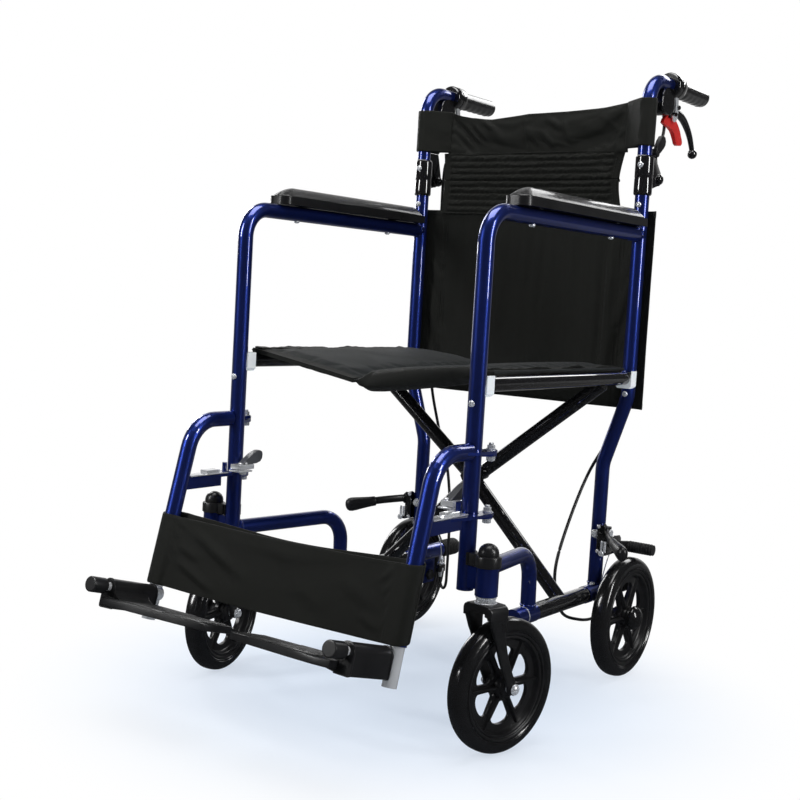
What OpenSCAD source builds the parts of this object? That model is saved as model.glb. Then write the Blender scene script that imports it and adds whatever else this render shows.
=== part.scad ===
// Folding transport wheelchair with four small wheels, footrests and a half-folding back.
// Lengths are in millimetres, +Z is up, the chair faces -Y and its left side is +X.

/* [Frame] */
// Outside diameter of the frame tubes
tube_d = 22.2; // [20:0.1:24]
// Distance between the left and right uprights, centre to centre
frame_w = 412; // [400:1:430]
// Distance between the front and rear uprights, centre to centre
frame_d = 435; // [425:1:445]
// Height of the seat rails' centre lines
seat_z = 477; // [470:1:485]
// Height of the armrest tubes' centre lines
arm_z = 697; // [690:1:705]
// Height of the push handles' centre lines
handle_z = 934; // [930:1:945]
// Height of the lower pivot tubes' centre lines
pivot_z = 135; // [133:1:138]
// Distance of each lower pivot tube from the middle plane
pivot_x = 175; // [172:1:178]

/* [Wheels] */
// Outside diameter of the rear tyres
wheel_d = 190; // [186:1:192]
// Outside diameter of the caster tyres
caster_d = 178; // [172:1:184]
// Width of the tyres
tyre_w = 28; // [26:1:30]
// Distance of each caster's swivel axis from the middle plane
caster_x = 241; // [240:1:244]
// Distance from the swivel axis back to the wheel axle
caster_trail = 38; // [34:1:40]
// Angle by which the casters stand swivelled outward
caster_turn = 12; // [0:1:14]

/* [Footrests] */
// Lean of the hangers from upright, and of the footplates from level
hanger_lean = 15; // [12:1:16]
// Length of each footplate along its hinge rod
plate_l = 89; // [84:1:92]
// Thickness of the footplates
plate_t = 9.5; // [9:0.5:11]

/* [Upholstery] */
// Depth of the seat sling's sag in the middle
seat_sag = 14; // [8:1:18]
// Depth of the back's curve in the middle
back_sag = 16; // [10:1:20]
// Number of sewn channels across the back
channels = 8; // [6:2:10]

/* [Hidden] */
SIDE_NODES = ["front_tube", "rear_tube", "lower_tube", "barrel_cap", "armrest_pad", "rail_saddles",
    "lock_bracket", "lock_lever", "brake_arm", "tipping_sleeve", "brake_cable", "caster_fork",
    "front_wheel", "front_tyre", "rear_wheel", "rear_tyre", "hanger", "hanger_latch", "slide_tube",
    "hinge_rod", "footplate", "back_hinge", "back_post", "back_fittings", "back_release",
    "brake_lever", "lock_tab"];
$fn = 48;

// The object's middle lies this far behind the front uprights
middle_y = 180;
tube_r = tube_d / 2;
up_x = frame_w / 2;
rear_y = frame_d;
wheel_r = wheel_d / 2;
caster_r = caster_d / 2;
// Gap between faces that move past each other, and radial play of a pin in its bore
gap = 0.5;
play = 0.05;
// Radius of the tube bends
bend_r = 42;

// Lower part of the side frame
low_x = 172;
kink_top_z = 446;
kink_low_z = 339;
front_foot_z = 212;
foot_bore_r = 9.6;
foot_bore_l = 60;
low_tube_z = 228;
low_bend_y = 218;
socket_r = 13.5;
spigot_r = 8;
spigot_l = 16;
socket_nose = 38;
socket_front_y = 236;
socket_rear_y = 394;
tip_sleeve_y = 505;
tip_end_y = 556;
axle_x = 209;
axle_y = 471;
axle_r = 6;

// Caster barrel
caster_y = -4;
barrel_r = 14.8;
barrel_low_z = 211;
barrel_top_z = 248;
stem_r = 6;

// Cross brace
brace_y = 335;
brace_gap = 12;
rail_r = tube_r;
rail_start_y = 16;
rail_end_y = frame_d - 16;
brace_top_z = seat_z - 7;
cross_z = 307;
cross_bolt_r = 5;

// Wheel lock
lock_pin_y = 424;
lock_pin_z = 233;
arm_pin_y = 446;
arm_pin_z = 214;
lock_pin_r = 4;
lock_pin_l = 15;
lock_hub_r = 9;
lock_hub_x = low_x + 20.5;
stopper_y = 500;
stopper_z = 202;
stopper_r = 9;
// Cable stop on the tipping tube, under which the cable's end sits
stop_x = 157;
stop_y = 488;
stop_low_z = 101;

// Footrest
swing_x = 215;
swing_y = 28;
swing_pin_r = 3.2;
hanger_x = 208;
hanger_top_z = 391;
hanger_corner_y = -84;
hanger_foot_z = 166;
hanger_foot_y = hanger_corner_y - (hanger_top_z - hanger_foot_z) * tan(hanger_lean);
arm_low_z = 310;
// Undersides of the two pivot tabs on the front upright
tab_t = 4;
upper_tab_z = hanger_top_z - 7;
lower_tab_z = arm_low_z - 7;
lower_plate_z = lower_tab_z + tab_t + gap;
arm_end_y = -36;
// Latch of the footrest, pinned on a tab inside the front upright
latch_x = up_x - 18;
latch_y = -2;
latch_z = arm_low_z + 7;
latch_pin_r = 3;
slide_r = 9.4;
slide_l = 48;
rod_r = 6;
rod_back_z = 157;
rod_inset = 6.5;
rod_l = 113.6;
rod_cap_r = 10.4;
boss_r = 9;
boss_l = 11;
rod_cap_l = 24;
plate_drop = 13.5;
plate_inner_x = 20;

// Back
hinge_y = 475;
hinge_z = 785;
hinge_low_z = 758;
hinge_top_z = 816;
hinge_r = 14;
hinge_pin_r = 5;
post_y = 433;
grip_start_y = 533;
grip_end_y = 630;
grip_r = 14.4;
lever_pin_y = 522;
lever_pin_z = 902;
tab_pin_y = 512;
tab_pin_z = 890;

// Soft pieces
cloth_t = 4;
back_y = rear_y + 14;
band_low_z = 836;
band_top_z = 901;
channel_low_z = 727;
channel_x = 163;
panel_low_z = 428;
panel_x = 226;

// Routes of the two brake cables, left side of the chair, from the hand-brake clamp to the cable stop
cable_r = 2.5;
left_route = [[206, 508, 874], [203, 500, 850], [198, 478, 820], [192, 470, 785], [190, 464, 740],
    [188, 466, 640], [188, 466, 520], [188, 462, 440], [170, 456, 380], [150, 430, 320],
    [146, 385, 250], [146, 352, 185], [150, 350, 140], [153, 372, 105], [156, 420, 88],
    [157, 462, 82], [157, 483, 88], [157, 488, 100]];
right_route = [[206, 508, 874], [203, 500, 850], [198, 478, 820], [192, 470, 785], [190, 464, 740],
    [188, 466, 640], [188, 466, 520], [186, 466, 440], [170, 472, 360], [155, 484, 290],
    [150, 492, 220], [148, 497, 150], [148, 500, 100], [150, 498, 80], [154, 491, 73],
    [157, 487, 82], [157, 488, 100]];

function unit(v) = v / norm(v);
function mix(a, b, t) = a + (b - a) * t;

// Round bar between two points
module rod(p, q, r) {
    d = q - p;
    translate(p) rotate([0, acos(d.z / norm(d)), atan2(d.y, d.x)]) cylinder(r = r, h = norm(d));
}

// Quarter or part turn of a round bar at corner p, from direction a to direction b
module elbow(p, a, b, r, turn_r) {
    angle = acos(a * b);
    c = p + unit(b - a) * turn_r / cos(angle / 2);
    x = unit(p - a * turn_r * tan(angle / 2) - c);
    z = cross(x, a);
    multmatrix([[x.x, a.x, z.x, c.x], [x.y, a.y, z.y, c.y], [x.z, a.z, z.z, c.z], [0, 0, 0, 1]])
        rotate_extrude(angle = angle) translate([turn_r, 0]) circle(r);
}

function heading(pts, i) = unit(pts[i + 1] - pts[i]);
function setback(pts, i, turn_r) = i == 0 || i == len(pts) - 1 ? 0
    : turn_r * tan(acos(heading(pts, i - 1) * heading(pts, i)) / 2);

// Bent tube along corner points
module run(pts, r, turn_r) {
    for (i = [0 : len(pts) - 2]) {
        d = heading(pts, i);
        rod(pts[i] + d * setback(pts, i, turn_r), pts[i + 1] - d * setback(pts, i + 1, turn_r), r);
    }
    for (i = [1 : 1 : len(pts) - 2])
        elbow(pts[i], heading(pts, i - 1), heading(pts, i), r, turn_r);
}

// Cylinder along X or Y from a start point
module bar_x(p, r, l) { translate(p) rotate([0, 90, 0]) cylinder(r = r, h = l); }
module bar_y(p, r, l) { translate(p) rotate([-90, 0, 0]) cylinder(r = r, h = l); }

// Box between two corners
module box(p, q) { translate(p) cube(q - p); }

// Closed cloth or pad between two grids of points, rows along i and columns along j
module slab(top, low) {
    m = len(top);
    n = len(top[0]);
    function a(i, j) = i * n + j;
    function b(i, j) = m * n + i * n + j;
    pts = concat([for (row = top) for (p = row) p], [for (row = low) for (p = row) p]);
    sheet = [for (i = [0 : m - 2]) for (j = [0 : n - 2]) each [
        [a(i, j), a(i + 1, j), a(i + 1, j + 1)], [a(i, j), a(i + 1, j + 1), a(i, j + 1)],
        [b(i, j), b(i + 1, j + 1), b(i + 1, j)], [b(i, j), b(i, j + 1), b(i + 1, j + 1)]]];
    ends = [for (j = [0 : n - 2]) each [
        [a(0, j), a(0, j + 1), b(0, j)], [a(0, j + 1), b(0, j + 1), b(0, j)],
        [a(m - 1, j), b(m - 1, j), a(m - 1, j + 1)],
        [a(m - 1, j + 1), b(m - 1, j), b(m - 1, j + 1)]]];
    sides = [for (i = [0 : m - 2]) each [
        [a(i, 0), b(i, 0), a(i + 1, 0)], [b(i, 0), b(i + 1, 0), a(i + 1, 0)],
        [a(i, n - 1), a(i + 1, n - 1), b(i, n - 1)],
        [b(i, n - 1), a(i + 1, n - 1), b(i + 1, n - 1)]]];
    polyhedron(pts, concat(sheet, ends, sides));
}

// Point of a smooth curve through route points, u counted in route points
function curve(p, u) = let(i = min(floor(u), len(p) - 2), t = u - i,
    a = p[max(i - 1, 0)], b = p[i], c = p[i + 1], d = p[min(i + 2, len(p) - 1)])
    0.5 * (2 * b + (c - a) * t + (2 * a - 5 * b + 4 * c - d) * t * t
        + (3 * b - a - 3 * c + d) * t * t * t);

// Eight-sided cord along a route
module cord(route, r, rings) {
    sides = 8;
    last = len(route) - 1;
    function tangent(u) = unit(curve(route, min(u + 0.02, last)) - curve(route, max(u - 0.02, 0)));
    function ring(u) = let(t = tangent(u), x = unit(cross(t, [0.9, 0.1, 0.2])), y = cross(t, x))
        [for (k = [0 : sides - 1]) curve(route, u) + r * (x * cos(360 * k / sides)
            + y * sin(360 * k / sides))];
    pts = [for (i = [0 : rings - 1]) each ring(i * last / (rings - 1))];
    wall = [for (i = [0 : rings - 2]) for (k = [0 : sides - 1]) let(n = (k + 1) % sides) each [
        [i * sides + k, (i + 1) * sides + k, i * sides + n],
        [i * sides + n, (i + 1) * sides + k, (i + 1) * sides + n]]];
    lids = [for (k = [1 : sides - 2]) each [[0, k, k + 1],
        [(rings - 1) * sides, (rings - 1) * sides + k + 1, (rings - 1) * sides + k]]];
    polyhedron(pts, concat(wall, lids));
}

// Front upright with its bend, armrest tube, the two fixed pivot tabs with their bolts and the latch tab
module front_tube() {
    color("midnightblue") {
        difference() {
            run([[up_x, 0, front_foot_z], [up_x, 0, arm_z], [up_x, rear_y, arm_z]], tube_r, bend_r);
            translate([up_x, 0, front_foot_z - 1]) cylinder(r = foot_bore_r, h = foot_bore_l + 1);
            translate([up_x, rear_y, arm_z - 40]) cylinder(r = tube_r, h = 80);
        }
        for (z = [upper_tab_z, lower_tab_z]) {
            difference() {
                translate([0, 0, z]) linear_extrude(tab_t)
                    polygon([[up_x - 8, 6], [up_x + 6, 6], [swing_x + 7, swing_y - 5],
                        [swing_x + 7, swing_y + 3], [swing_x + 3, swing_y + 7],
                        [swing_x - 4, swing_y + 7], [swing_x - 8, swing_y + 2]]);
                translate([up_x, 0, z - 1]) cylinder(r = tube_r, h = 6);
            }
            translate([swing_x, swing_y, z - 6]) cylinder(r = swing_pin_r, h = 2 * tab_t + 12);
        }
        difference() {
            box([latch_x - 7, latch_y - 7, latch_z - 3], [up_x - 6, latch_y + 8, latch_z]);
            translate([latch_x, latch_y, latch_z - 4]) cylinder(r = latch_pin_r + play, h = 5);
        }
    }
}

// Rear upright, lower upright, rear pivot socket, tipping tube, axle plate and axle
module rear_tube() {
    color("midnightblue") difference() {
        union() {
            run([[low_x, rear_y, pivot_z], [low_x, rear_y, kink_low_z], [up_x, rear_y, kink_top_z],
                [up_x, rear_y, hinge_low_z]], tube_r, 60);
            bar_y([pivot_x, socket_rear_y, pivot_z], socket_r, tip_sleeve_y - socket_rear_y);
            bar_y([pivot_x, tip_sleeve_y - 5, pivot_z], tube_r, tip_end_y - tip_sleeve_y + 2);
            box([pivot_x - 5, axle_y - 16, wheel_r - 14], [pivot_x + 5, axle_y + 16, pivot_z]);
            bar_x([pivot_x, axle_y, wheel_r], axle_r, axle_x + 18 - pivot_x);
        }
        bar_y([pivot_x, socket_rear_y - 1, pivot_z], spigot_r + play, spigot_l + 2);
    }
}

// Lower tube from the front upright to the front pivot socket, with the caster barrel
module lower_tube() {
    color("midnightblue") difference() {
        union() {
            run([[up_x, 0, low_tube_z], [pivot_x, low_bend_y, low_tube_z],
                [pivot_x, low_bend_y + 4, pivot_z]], tube_r, bend_r);
            bar_y([pivot_x, low_bend_y - socket_nose, pivot_z], socket_r,
                socket_front_y - low_bend_y + socket_nose);
            translate([caster_x, caster_y, barrel_low_z])
                cylinder(r = barrel_r, h = barrel_top_z - barrel_low_z);
            box([up_x, -8, barrel_low_z + 6], [caster_x, 4, barrel_top_z - 3]);
        }
        translate([up_x, 0, barrel_low_z - 10]) cylinder(r = tube_r, h = 80);
        translate([caster_x, caster_y, barrel_low_z - 1])
            cylinder(r = stem_r + play, h = barrel_top_z - barrel_low_z + 2);
        bar_y([pivot_x, socket_front_y - spigot_l - 1, pivot_z], spigot_r + play, spigot_l + 2);
    }
}

// Domed cap on the caster barrel, with the collar that ties it to the front upright
module barrel_cap() {
    dome_z = 268;
    collar_r = 16.8;
    color("black") {
        translate([caster_x, caster_y, 0]) rotate_extrude()
            polygon([[0, dome_z - 6], [0, dome_z + 10], [6, dome_z + 9], [10.5, dome_z + 6],
                [13.5, dome_z], [collar_r, dome_z - 5], [collar_r, barrel_top_z], [8, barrel_top_z],
                [8, dome_z - 6]]);
        difference() {
            box([up_x, -10, barrel_top_z + 1], [caster_x - 12, 3, barrel_top_z + 13]);
            translate([up_x, 0, 200]) cylinder(r = tube_r, h = 100);
            translate([caster_x, caster_y, 200]) cylinder(r = collar_r, h = 100);
        }
    }
}

// Armrest pad: flat base, seam line, rounded shoulders and crowned top
pad_start_y = 62;
pad_end_y = 421;
pad_w = 40;
pad_h = 27;
pad_board_t = 12.5;
pad_low_z = arm_z + tube_r + 0.3;
function pad_end(t) = pow(max(0, 1 - pow(abs(2 * t - 1), 14)), 1 / 2.6);
function pad_half(t) = pad_w / 2 * (0.62 + 0.38 * pad_end(t)) * (1 - 0.06 * t);
function pad_crown(s) = pow(max(0, 1 - pow(abs(s), 3.4)), 1 / 2.2);
module armrest_pad() {
    rows = 15;
    cols = 13;
    function along(i) = 0.5 - 0.5 * cos(180 * i / (rows - 1));
    function across(j) = -cos(180 * j / (cols - 1));
    function at(i, s, z) = [up_x + s * pad_half(along(i)),
        mix(pad_start_y, pad_end_y, along(i)), pad_low_z + z];
    color("black") slab(
        [for (i = [0 : rows - 1]) [for (j = [0 : cols - 1]) let(s = across(j))
            at(i, s, pad_board_t
                + (pad_h - pad_board_t) * pad_crown(s) * (0.45 + 0.55 * pad_end(along(i))))]],
        [for (i = [0 : rows - 1]) [for (j = [0 : cols - 1]) at(i, across(j), 0)]]);
}

// White saddles, open at the top, that take the ends of the seat rail
module rail_saddles() {
    saddle_l = 18;
    module saddle(y, l) {
        difference() {
            box([up_x - rail_r - 2.4, y, seat_z - 16], [up_x + rail_r + 2.4, y + l, seat_z + 7]);
            box([up_x - rail_r - 0.6, y - 1, seat_z], [up_x + rail_r + 0.6, y + l + 1, seat_z + 20]);
            bar_y([up_x, y - 1, seat_z], rail_r + 0.6, l + 2);
            for (upright_y = [0, rear_y])
                translate([up_x, upright_y, seat_z - 40]) cylinder(r = tube_r, h = 80);
        }
    }
    color("white") {
        saddle(2, saddle_l);
        saddle(rear_y - 2 - saddle_l, saddle_l);
    }
}

// Clamp on the lower rear upright with the two lock pivots, and the cable stop on the tipping tube
module lock_bracket() {
    face_x = low_x + 20;
    low_z = 198;
    height = 48;
    color("dimgray") {
        difference() {
            box([low_x - 4, rear_y - 18, low_z], [face_x, rear_y + 22, low_z + height]);
            translate([low_x, rear_y, low_z - 1]) cylinder(r = tube_r, h = height + 2);
        }
        bar_x([face_x, lock_pin_y, lock_pin_z], lock_pin_r, lock_pin_l);
        bar_x([face_x, arm_pin_y, arm_pin_z], lock_pin_r, lock_pin_l);
        difference() {
            box([stop_x - 5, stop_y - 6, stop_low_z], [stop_x + 6, stop_y + 6, pivot_z - 7]);
            translate([stop_x, stop_y, stop_low_z - 1]) cylinder(r = 1.2, h = 40);
        }
    }
}

// Wheel-lock lever, from its pivot outward and forward to a drop-shaped grip
module lock_lever() {
    tip = [262, 343, 225];
    start = [lock_hub_x + 7, lock_pin_y - 4, lock_pin_z];
    color("black") difference() {
        union() {
            bar_x([lock_hub_x, lock_pin_y, lock_pin_z], lock_hub_r, 9);
            rod(start, mix(start, tip, 0.72), 5.5);
            rod(mix(start, tip, 0.6), mix(start, tip, 0.93), 9.5);
            translate(mix(start, tip, 0.93)) sphere(r = 11);
        }
        bar_x([lock_hub_x - 1, lock_pin_y, lock_pin_z], lock_pin_r + play, lock_pin_l + 6);
    }
}

// Brake arm with the ribbed stopper that lies across the tyre
module brake_arm() {
    ribs = 8;
    color("black") difference() {
        union() {
            bar_x([lock_hub_x, arm_pin_y, arm_pin_z], lock_hub_r, 8);
            rod([lock_hub_x + 4, arm_pin_y, arm_pin_z], [lock_hub_x + 4, stopper_y, stopper_z], 4);
            bar_x([lock_hub_x - 1, stopper_y, stopper_z], stopper_r - 1, 48);
            for (i = [0 : ribs - 1])
                bar_x([lock_hub_x + 6 + 5 * i, stopper_y, stopper_z], stopper_r, 3);
        }
        bar_x([lock_hub_x - 1, arm_pin_y, arm_pin_z], lock_pin_r + play, 11);
    }
}

// Ribbed rubber sleeve on the tipping tube
module tipping_sleeve() {
    l = tip_end_y - tip_sleeve_y;
    ribs = 8;
    color("black") difference() {
        union() {
            bar_y([pivot_x, tip_sleeve_y, pivot_z], 14, l);
            for (i = [0 : ribs - 1])
                bar_y([pivot_x, tip_sleeve_y + 3 + 6 * i, pivot_z], 15, 3);
        }
        bar_y([pivot_x, tip_sleeve_y - 1, pivot_z], tube_r, l - 2);
    }
}

module left_brake_cable() { color("black") cord(left_route, cable_r, 66); }
module right_brake_cable() { color("black") cord(right_route, cable_r, 66); }

// Everything of a caster turns with its fork
module on_caster() {
    translate([caster_x, caster_y, 0]) rotate([0, 0, -caster_turn]) translate([0, caster_trail, caster_r])
        children();
}

// Caster fork: stem, crown, two legs and the axle bolt
module caster_fork() {
    crown_low = caster_r + 13;
    crown_top = crown_low + 10;
    nut_r = 12;
    stem_top = barrel_top_z - caster_r;
    leg_x = tyre_w / 2 + 3;
    leg_t = 6;
    // Places down a leg: distance behind the axle, height above it, and half width
    leg = [[4 - caster_trail, crown_low - 5, 14], [11 - caster_trail, 0.74 * caster_r, 11],
        [20 - caster_trail, 0.4 * caster_r, 8.5], [0, 0, 9]];
    color("black") on_caster() {
        translate([0, -caster_trail, crown_low])
            cylinder(r = nut_r, h = barrel_low_z - gap - caster_r - crown_low);
        translate([0, -caster_trail, crown_low]) cylinder(r = stem_r, h = stem_top - crown_low);
        box([-leg_x - leg_t, -caster_trail - 14, crown_low], [leg_x + leg_t, -caster_trail + 18, crown_top]);
        for (x = [-leg_x - leg_t, leg_x])
            for (k = [0 : len(leg) - 2])
                hull() {
                    bar_x([x, leg[k][0], leg[k][1]], leg[k][2], leg_t);
                    bar_x([x, leg[k + 1][0], leg[k + 1][1]], leg[k + 1][2], leg_t);
                }
        bar_x([-leg_x - leg_t - 5, 0, 0], axle_r, 2 * (leg_x + leg_t + 5));
    }
}

rim_r = 76;
rim_in_r = 66;
rim_window_r = 55;
hub_r = 17;
// Six-spoke wheel body with its axle along X, centred on the origin, for a tyre of radius r
module wheel_body(hub_l, r) {
    out_r = rim_r * r / wheel_r;
    in_r = rim_in_r * r / wheel_r;
    window_r = rim_window_r * r / wheel_r;
    color("black") difference() {
        union() {
            rotate([0, 90, 0]) rotate_extrude($fn = 72)
                polygon([[window_r, -3], [in_r, -3], [in_r, -9], [out_r, -12], [out_r, 12], [in_r, 9],
                    [in_r, 3], [window_r, 3]]);
            bar_x([-hub_l / 2, 0, 0], hub_r, hub_l);
            for (k = [0 : 5]) rotate([60 * k + 30, 0, 0]) {
                box([-3, -6.5, hub_r - 3], [3, 6.5, window_r + 2]);
                box([-8, -2.3, hub_r - 3], [8, 2.3, in_r + 2]);
            }
        }
        bar_x([-hub_l, 0, 0], axle_r + play, 2 * hub_l);
    }
}

// Tyre with a round tread, seated on the rim
module tyre_body(r) {
    h = tyre_w / 2;
    seat_r = rim_r * r / wheel_r;
    color("black") rotate([0, 90, 0]) rotate_extrude($fn = 96)
        polygon([[seat_r, -12], [seat_r + 4, -h], [r - 9, -h], [r - 4, -h + 3],
            [r - 1, -h + 7], [r, -h + 11], [r, h - 11], [r - 1, h - 7],
            [r - 4, h - 3], [r - 9, h], [seat_r + 4, h], [seat_r, 12]]);
}

module front_wheel() { on_caster() wheel_body(tyre_w + 4, caster_r); }
module front_tyre() { on_caster() tyre_body(caster_r); }
module on_axle() { translate([axle_x, axle_y, wheel_r]) children(); }
// Rear wheel with a closed dome over the axle's end
module rear_wheel() {
    on_axle() {
        wheel_body(tyre_w + 4, wheel_r);
        color("black") translate([18.5, 0, 0]) rotate([0, 90, 0]) rotate_extrude()
            polygon([[0, 1], [0, 13], [6, 12], [11, 9], [14, 4], [15, -2.5], [8, -2.5], [8, 1]]);
    }
}
module rear_tyre() { on_axle() tyre_body(wheel_r); }

// Plate of the hanger that reaches round the outside of the upright to the pivot bolt
module swing_plate(z, front_y) {
    difference() {
        translate([0, 0, z]) linear_extrude(tab_t)
            polygon([[hanger_x - 10, front_y], [hanger_x + 10, front_y], [swing_x + 12, -16],
                [swing_x + 12, swing_y - 8], [swing_x + 8, swing_y + 3],
                [swing_x + 3, swing_y + 7], [swing_x - 4, swing_y + 7],
                [swing_x - 8, swing_y + 2], [swing_x - 8, swing_y - 6], [up_x, 0],
                [hanger_x - 10, -14]]);
        translate([up_x, 0, z - 1]) cylinder(r = tube_r + 1, h = 6);
        translate([swing_x, swing_y, z - 1]) cylinder(r = swing_pin_r + play, h = 6);
    }
}

function hanger_y(z) = hanger_corner_y - (hanger_top_z - z) * tan(hanger_lean);

// Footrest hanger: bent tube, two swing plates and the lower channel arm
module hanger() {
    color("midnightblue") difference() {
        union() {
            run([[hanger_x, -14, hanger_top_z], [hanger_x, hanger_corner_y, hanger_top_z],
                [hanger_x, hanger_foot_y, hanger_foot_z]], tube_r, bend_r + 8);
            box([hanger_x - 10, hanger_y(arm_low_z), arm_low_z - 15],
                [hanger_x + 10, arm_end_y, lower_plate_z + tab_t]);
            swing_plate(upper_tab_z + tab_t + gap, -34);
            swing_plate(lower_plate_z, arm_end_y - 24);
            translate([hanger_x - 4, -24, lower_plate_z]) cylinder(r = 3.5, h = 20);
        }
        rod([hanger_x, hanger_foot_y - sin(hanger_lean) * 2, hanger_foot_z - cos(hanger_lean) * 2],
            [hanger_x, hanger_y(hanger_foot_z + 70), hanger_foot_z + 70], slide_r);
    }
}

// Latch inside the front upright: pin, chrome box that holds the hanger's catch pin, and paddle
module hanger_latch() {
    color("gray") {
        translate([latch_x, latch_y, latch_z - 6]) cylinder(r = latch_pin_r, h = 14);
        box([latch_x - 8, latch_y - 12, latch_z + gap], [latch_x + 5, latch_y + 18, latch_z + 11]);
        translate([latch_x - 7, latch_y, latch_z]) rotate([90, 0, 90]) linear_extrude(6)
            polygon([[-4, 10], [6, 15], [20, 24], [32, 29], [40, 28], [42, 22], [38, 12], [16, 9.6]]);
    }
}

// Chrome slide tube in the hanger's foot, with the boss that carries the hinge rod
module slide_tube() {
    top_z = hanger_foot_z + 60;
    low_z = hanger_foot_z - slide_l;
    color("silver") difference() {
        union() {
            rod([hanger_x, hanger_y(low_z), low_z], [hanger_x, hanger_y(top_z), top_z], slide_r - play);
            on_rod() bar_y([0, -boss_l, 0], boss_r, boss_l + 2);
        }
        on_rod() bar_y([0, -12, 0], rod_r + play, 30);
    }
}

// Frame of the hinge rod: origin at its rear end, -Y along the rod
module on_rod() {
    translate([hanger_x - rod_inset, hanger_y(rod_back_z) - 7, rod_back_z - 2]) rotate([-hanger_lean, 0, 0])
        children();
}

// Hinge rod of the footplate, with a cap on its front end
module hinge_rod() {
    color("silver") on_rod() {
        bar_y([0, -rod_l, 0], rod_r, rod_l + 1);
        difference() {
            bar_y([0, -rod_l - 4, 0], rod_cap_r, rod_cap_l);
            bar_y([0, -rod_l, 0], rod_r, rod_cap_l + 1);
        }
    }
}

// Footplate: sleeve and deep outer block round the rod, and a ribbed blade that narrows inward
module footplate() {
    near = -rod_l + 9;
    far = near + plate_l - 6;
    sleeve_y = near + 20;
    inner = plate_inner_x - hanger_x + rod_inset;
    sleeve_r = 11;
    sleeve_end_y = -4.5;
    low = -plate_drop - plate_t;
    ribs = 9;
    color("black") on_rod() difference() {
        union() {
            bar_y([0, sleeve_y, 0], sleeve_r, sleeve_end_y - sleeve_y);
            box([-sleeve_r, sleeve_y, low - 5], [sleeve_r, sleeve_end_y, 0]);
            translate([0, 0, low]) linear_extrude(plate_t)
                polygon([[8, near], [8, far], [inner + 20, far - 3], [inner, far - 10],
                    [inner, near + 38], [inner + 8, near + 29], [inner + 60, near + 10]]);
            for (k = [0 : ribs - 1])
                box([inner + 14 + 17 * k, near + 32, -plate_drop - 1],
                    [inner + 21 + 17 * k, far - 14, -plate_drop + 1]);
        }
        bar_y([0, near - 1, 0], rod_r + play, sleeve_end_y - near + 2);
        bar_y([0, -boss_l - 1, 0], boss_r + gap, boss_l + 2);
    }
}

// Hinge body on the rear upright, with the ear and pin that carry the post's leaf
module back_hinge() {
    color("black") difference() {
        union() {
            translate([up_x, rear_y, hinge_low_z]) cylinder(r = hinge_r, h = hinge_top_z - hinge_low_z);
            translate([up_x + 3, 0, 0]) rotate([90, 0, 90]) linear_extrude(4)
                polygon([[rear_y, hinge_low_z + 4], [hinge_y + 2, hinge_z - 9],
                    [hinge_y + 9, hinge_z - 2], [hinge_y + 7, hinge_z + 7],
                    [rear_y + 22, hinge_top_z], [rear_y, hinge_top_z]]);
            bar_x([up_x - 6, hinge_y, hinge_z], hinge_pin_r, 14);
            bar_x([up_x + 7, hinge_y, hinge_z], 8, 5);
        }
        translate([up_x, rear_y, hinge_low_z - 1]) cylinder(r = tube_r - 4, h = 20);
    }
}

// Back post bent into the push handle
module post_tube() {
    run([[up_x, post_y, hinge_top_z + 1], [up_x, post_y, handle_z], [up_x, grip_end_y - 4, handle_z]],
        tube_r, bend_r);
}
module back_post() {
    color("midnightblue") post_tube();
}

// Black fittings on the post: hinge leaf with its collar, hand-brake clamp and push grip
module back_fittings() {
    leaf_low = hinge_top_z + 1;
    clamp_y = 500;
    clamp_l = 30;
    clamp_r = 20;
    clamp_low_z = 876;
    ridges = 5;
    color("black") {
        difference() {
            union() {
                translate([up_x, post_y, leaf_low]) cylinder(r = 13.5, h = 14);
                translate([up_x - 4, 0, 0]) rotate([90, 0, 90]) linear_extrude(6)
                    polygon([[post_y + 6, leaf_low], [post_y + 20, leaf_low], [hinge_y - 9, hinge_z],
                        [hinge_y - 4, hinge_z - 8], [hinge_y + 5, hinge_z - 8],
                        [hinge_y + 9, hinge_z], [hinge_y - 4, leaf_low + 14],
                        [post_y + 6, leaf_low + 14]]);
            }
            translate([up_x, post_y, leaf_low - 1]) cylinder(r = tube_r, h = 20);
            bar_x([up_x - 10, hinge_y, hinge_z], hinge_pin_r + play, 20);
        }
        difference() {
            union() {
                bar_y([up_x, clamp_y, handle_z], clamp_r, clamp_l);
                box([up_x - 7, clamp_y - 2, clamp_low_z], [up_x + 7, clamp_y + clamp_l, handle_z]);
                box([up_x - 11, clamp_y + 4, clamp_low_z + 4],
                    [up_x + 11, clamp_y + clamp_l - 2, handle_z - 12]);
                translate([up_x - 9, 0, 0]) rotate([90, 0, 90]) linear_extrude(18)
                    polygon([[clamp_y - 28, handle_z - 14], [clamp_y - 38, handle_z - 32],
                        [clamp_y - 34, handle_z - 50], [clamp_y - 22, handle_z - 54],
                        [clamp_y + 2, handle_z - 47], [clamp_y + 2, handle_z - 6]]);
            }
            post_tube();
            box([up_x - 5, clamp_y + 3, clamp_low_z - 6],
                [up_x + 5, clamp_y + clamp_l + 10, handle_z - 18]);
            bar_x([up_x - 12, lever_pin_y, lever_pin_z], 3 + play, 24);
            bar_x([up_x - 12, tab_pin_y, tab_pin_z], 2 + play, 24);
        }
        difference() {
            union() {
                bar_y([up_x, grip_start_y, handle_z], grip_r, grip_end_y - grip_start_y);
                for (i = [0 : ridges - 1])
                    bar_y([up_x, grip_start_y + 14 + 16 * i, handle_z - 1.6], grip_r - 0.4, 8);
            }
            bar_y([up_x, grip_start_y - 1, handle_z], tube_r, grip_end_y - 4 - grip_start_y + 1);
        }
    }
}

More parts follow.
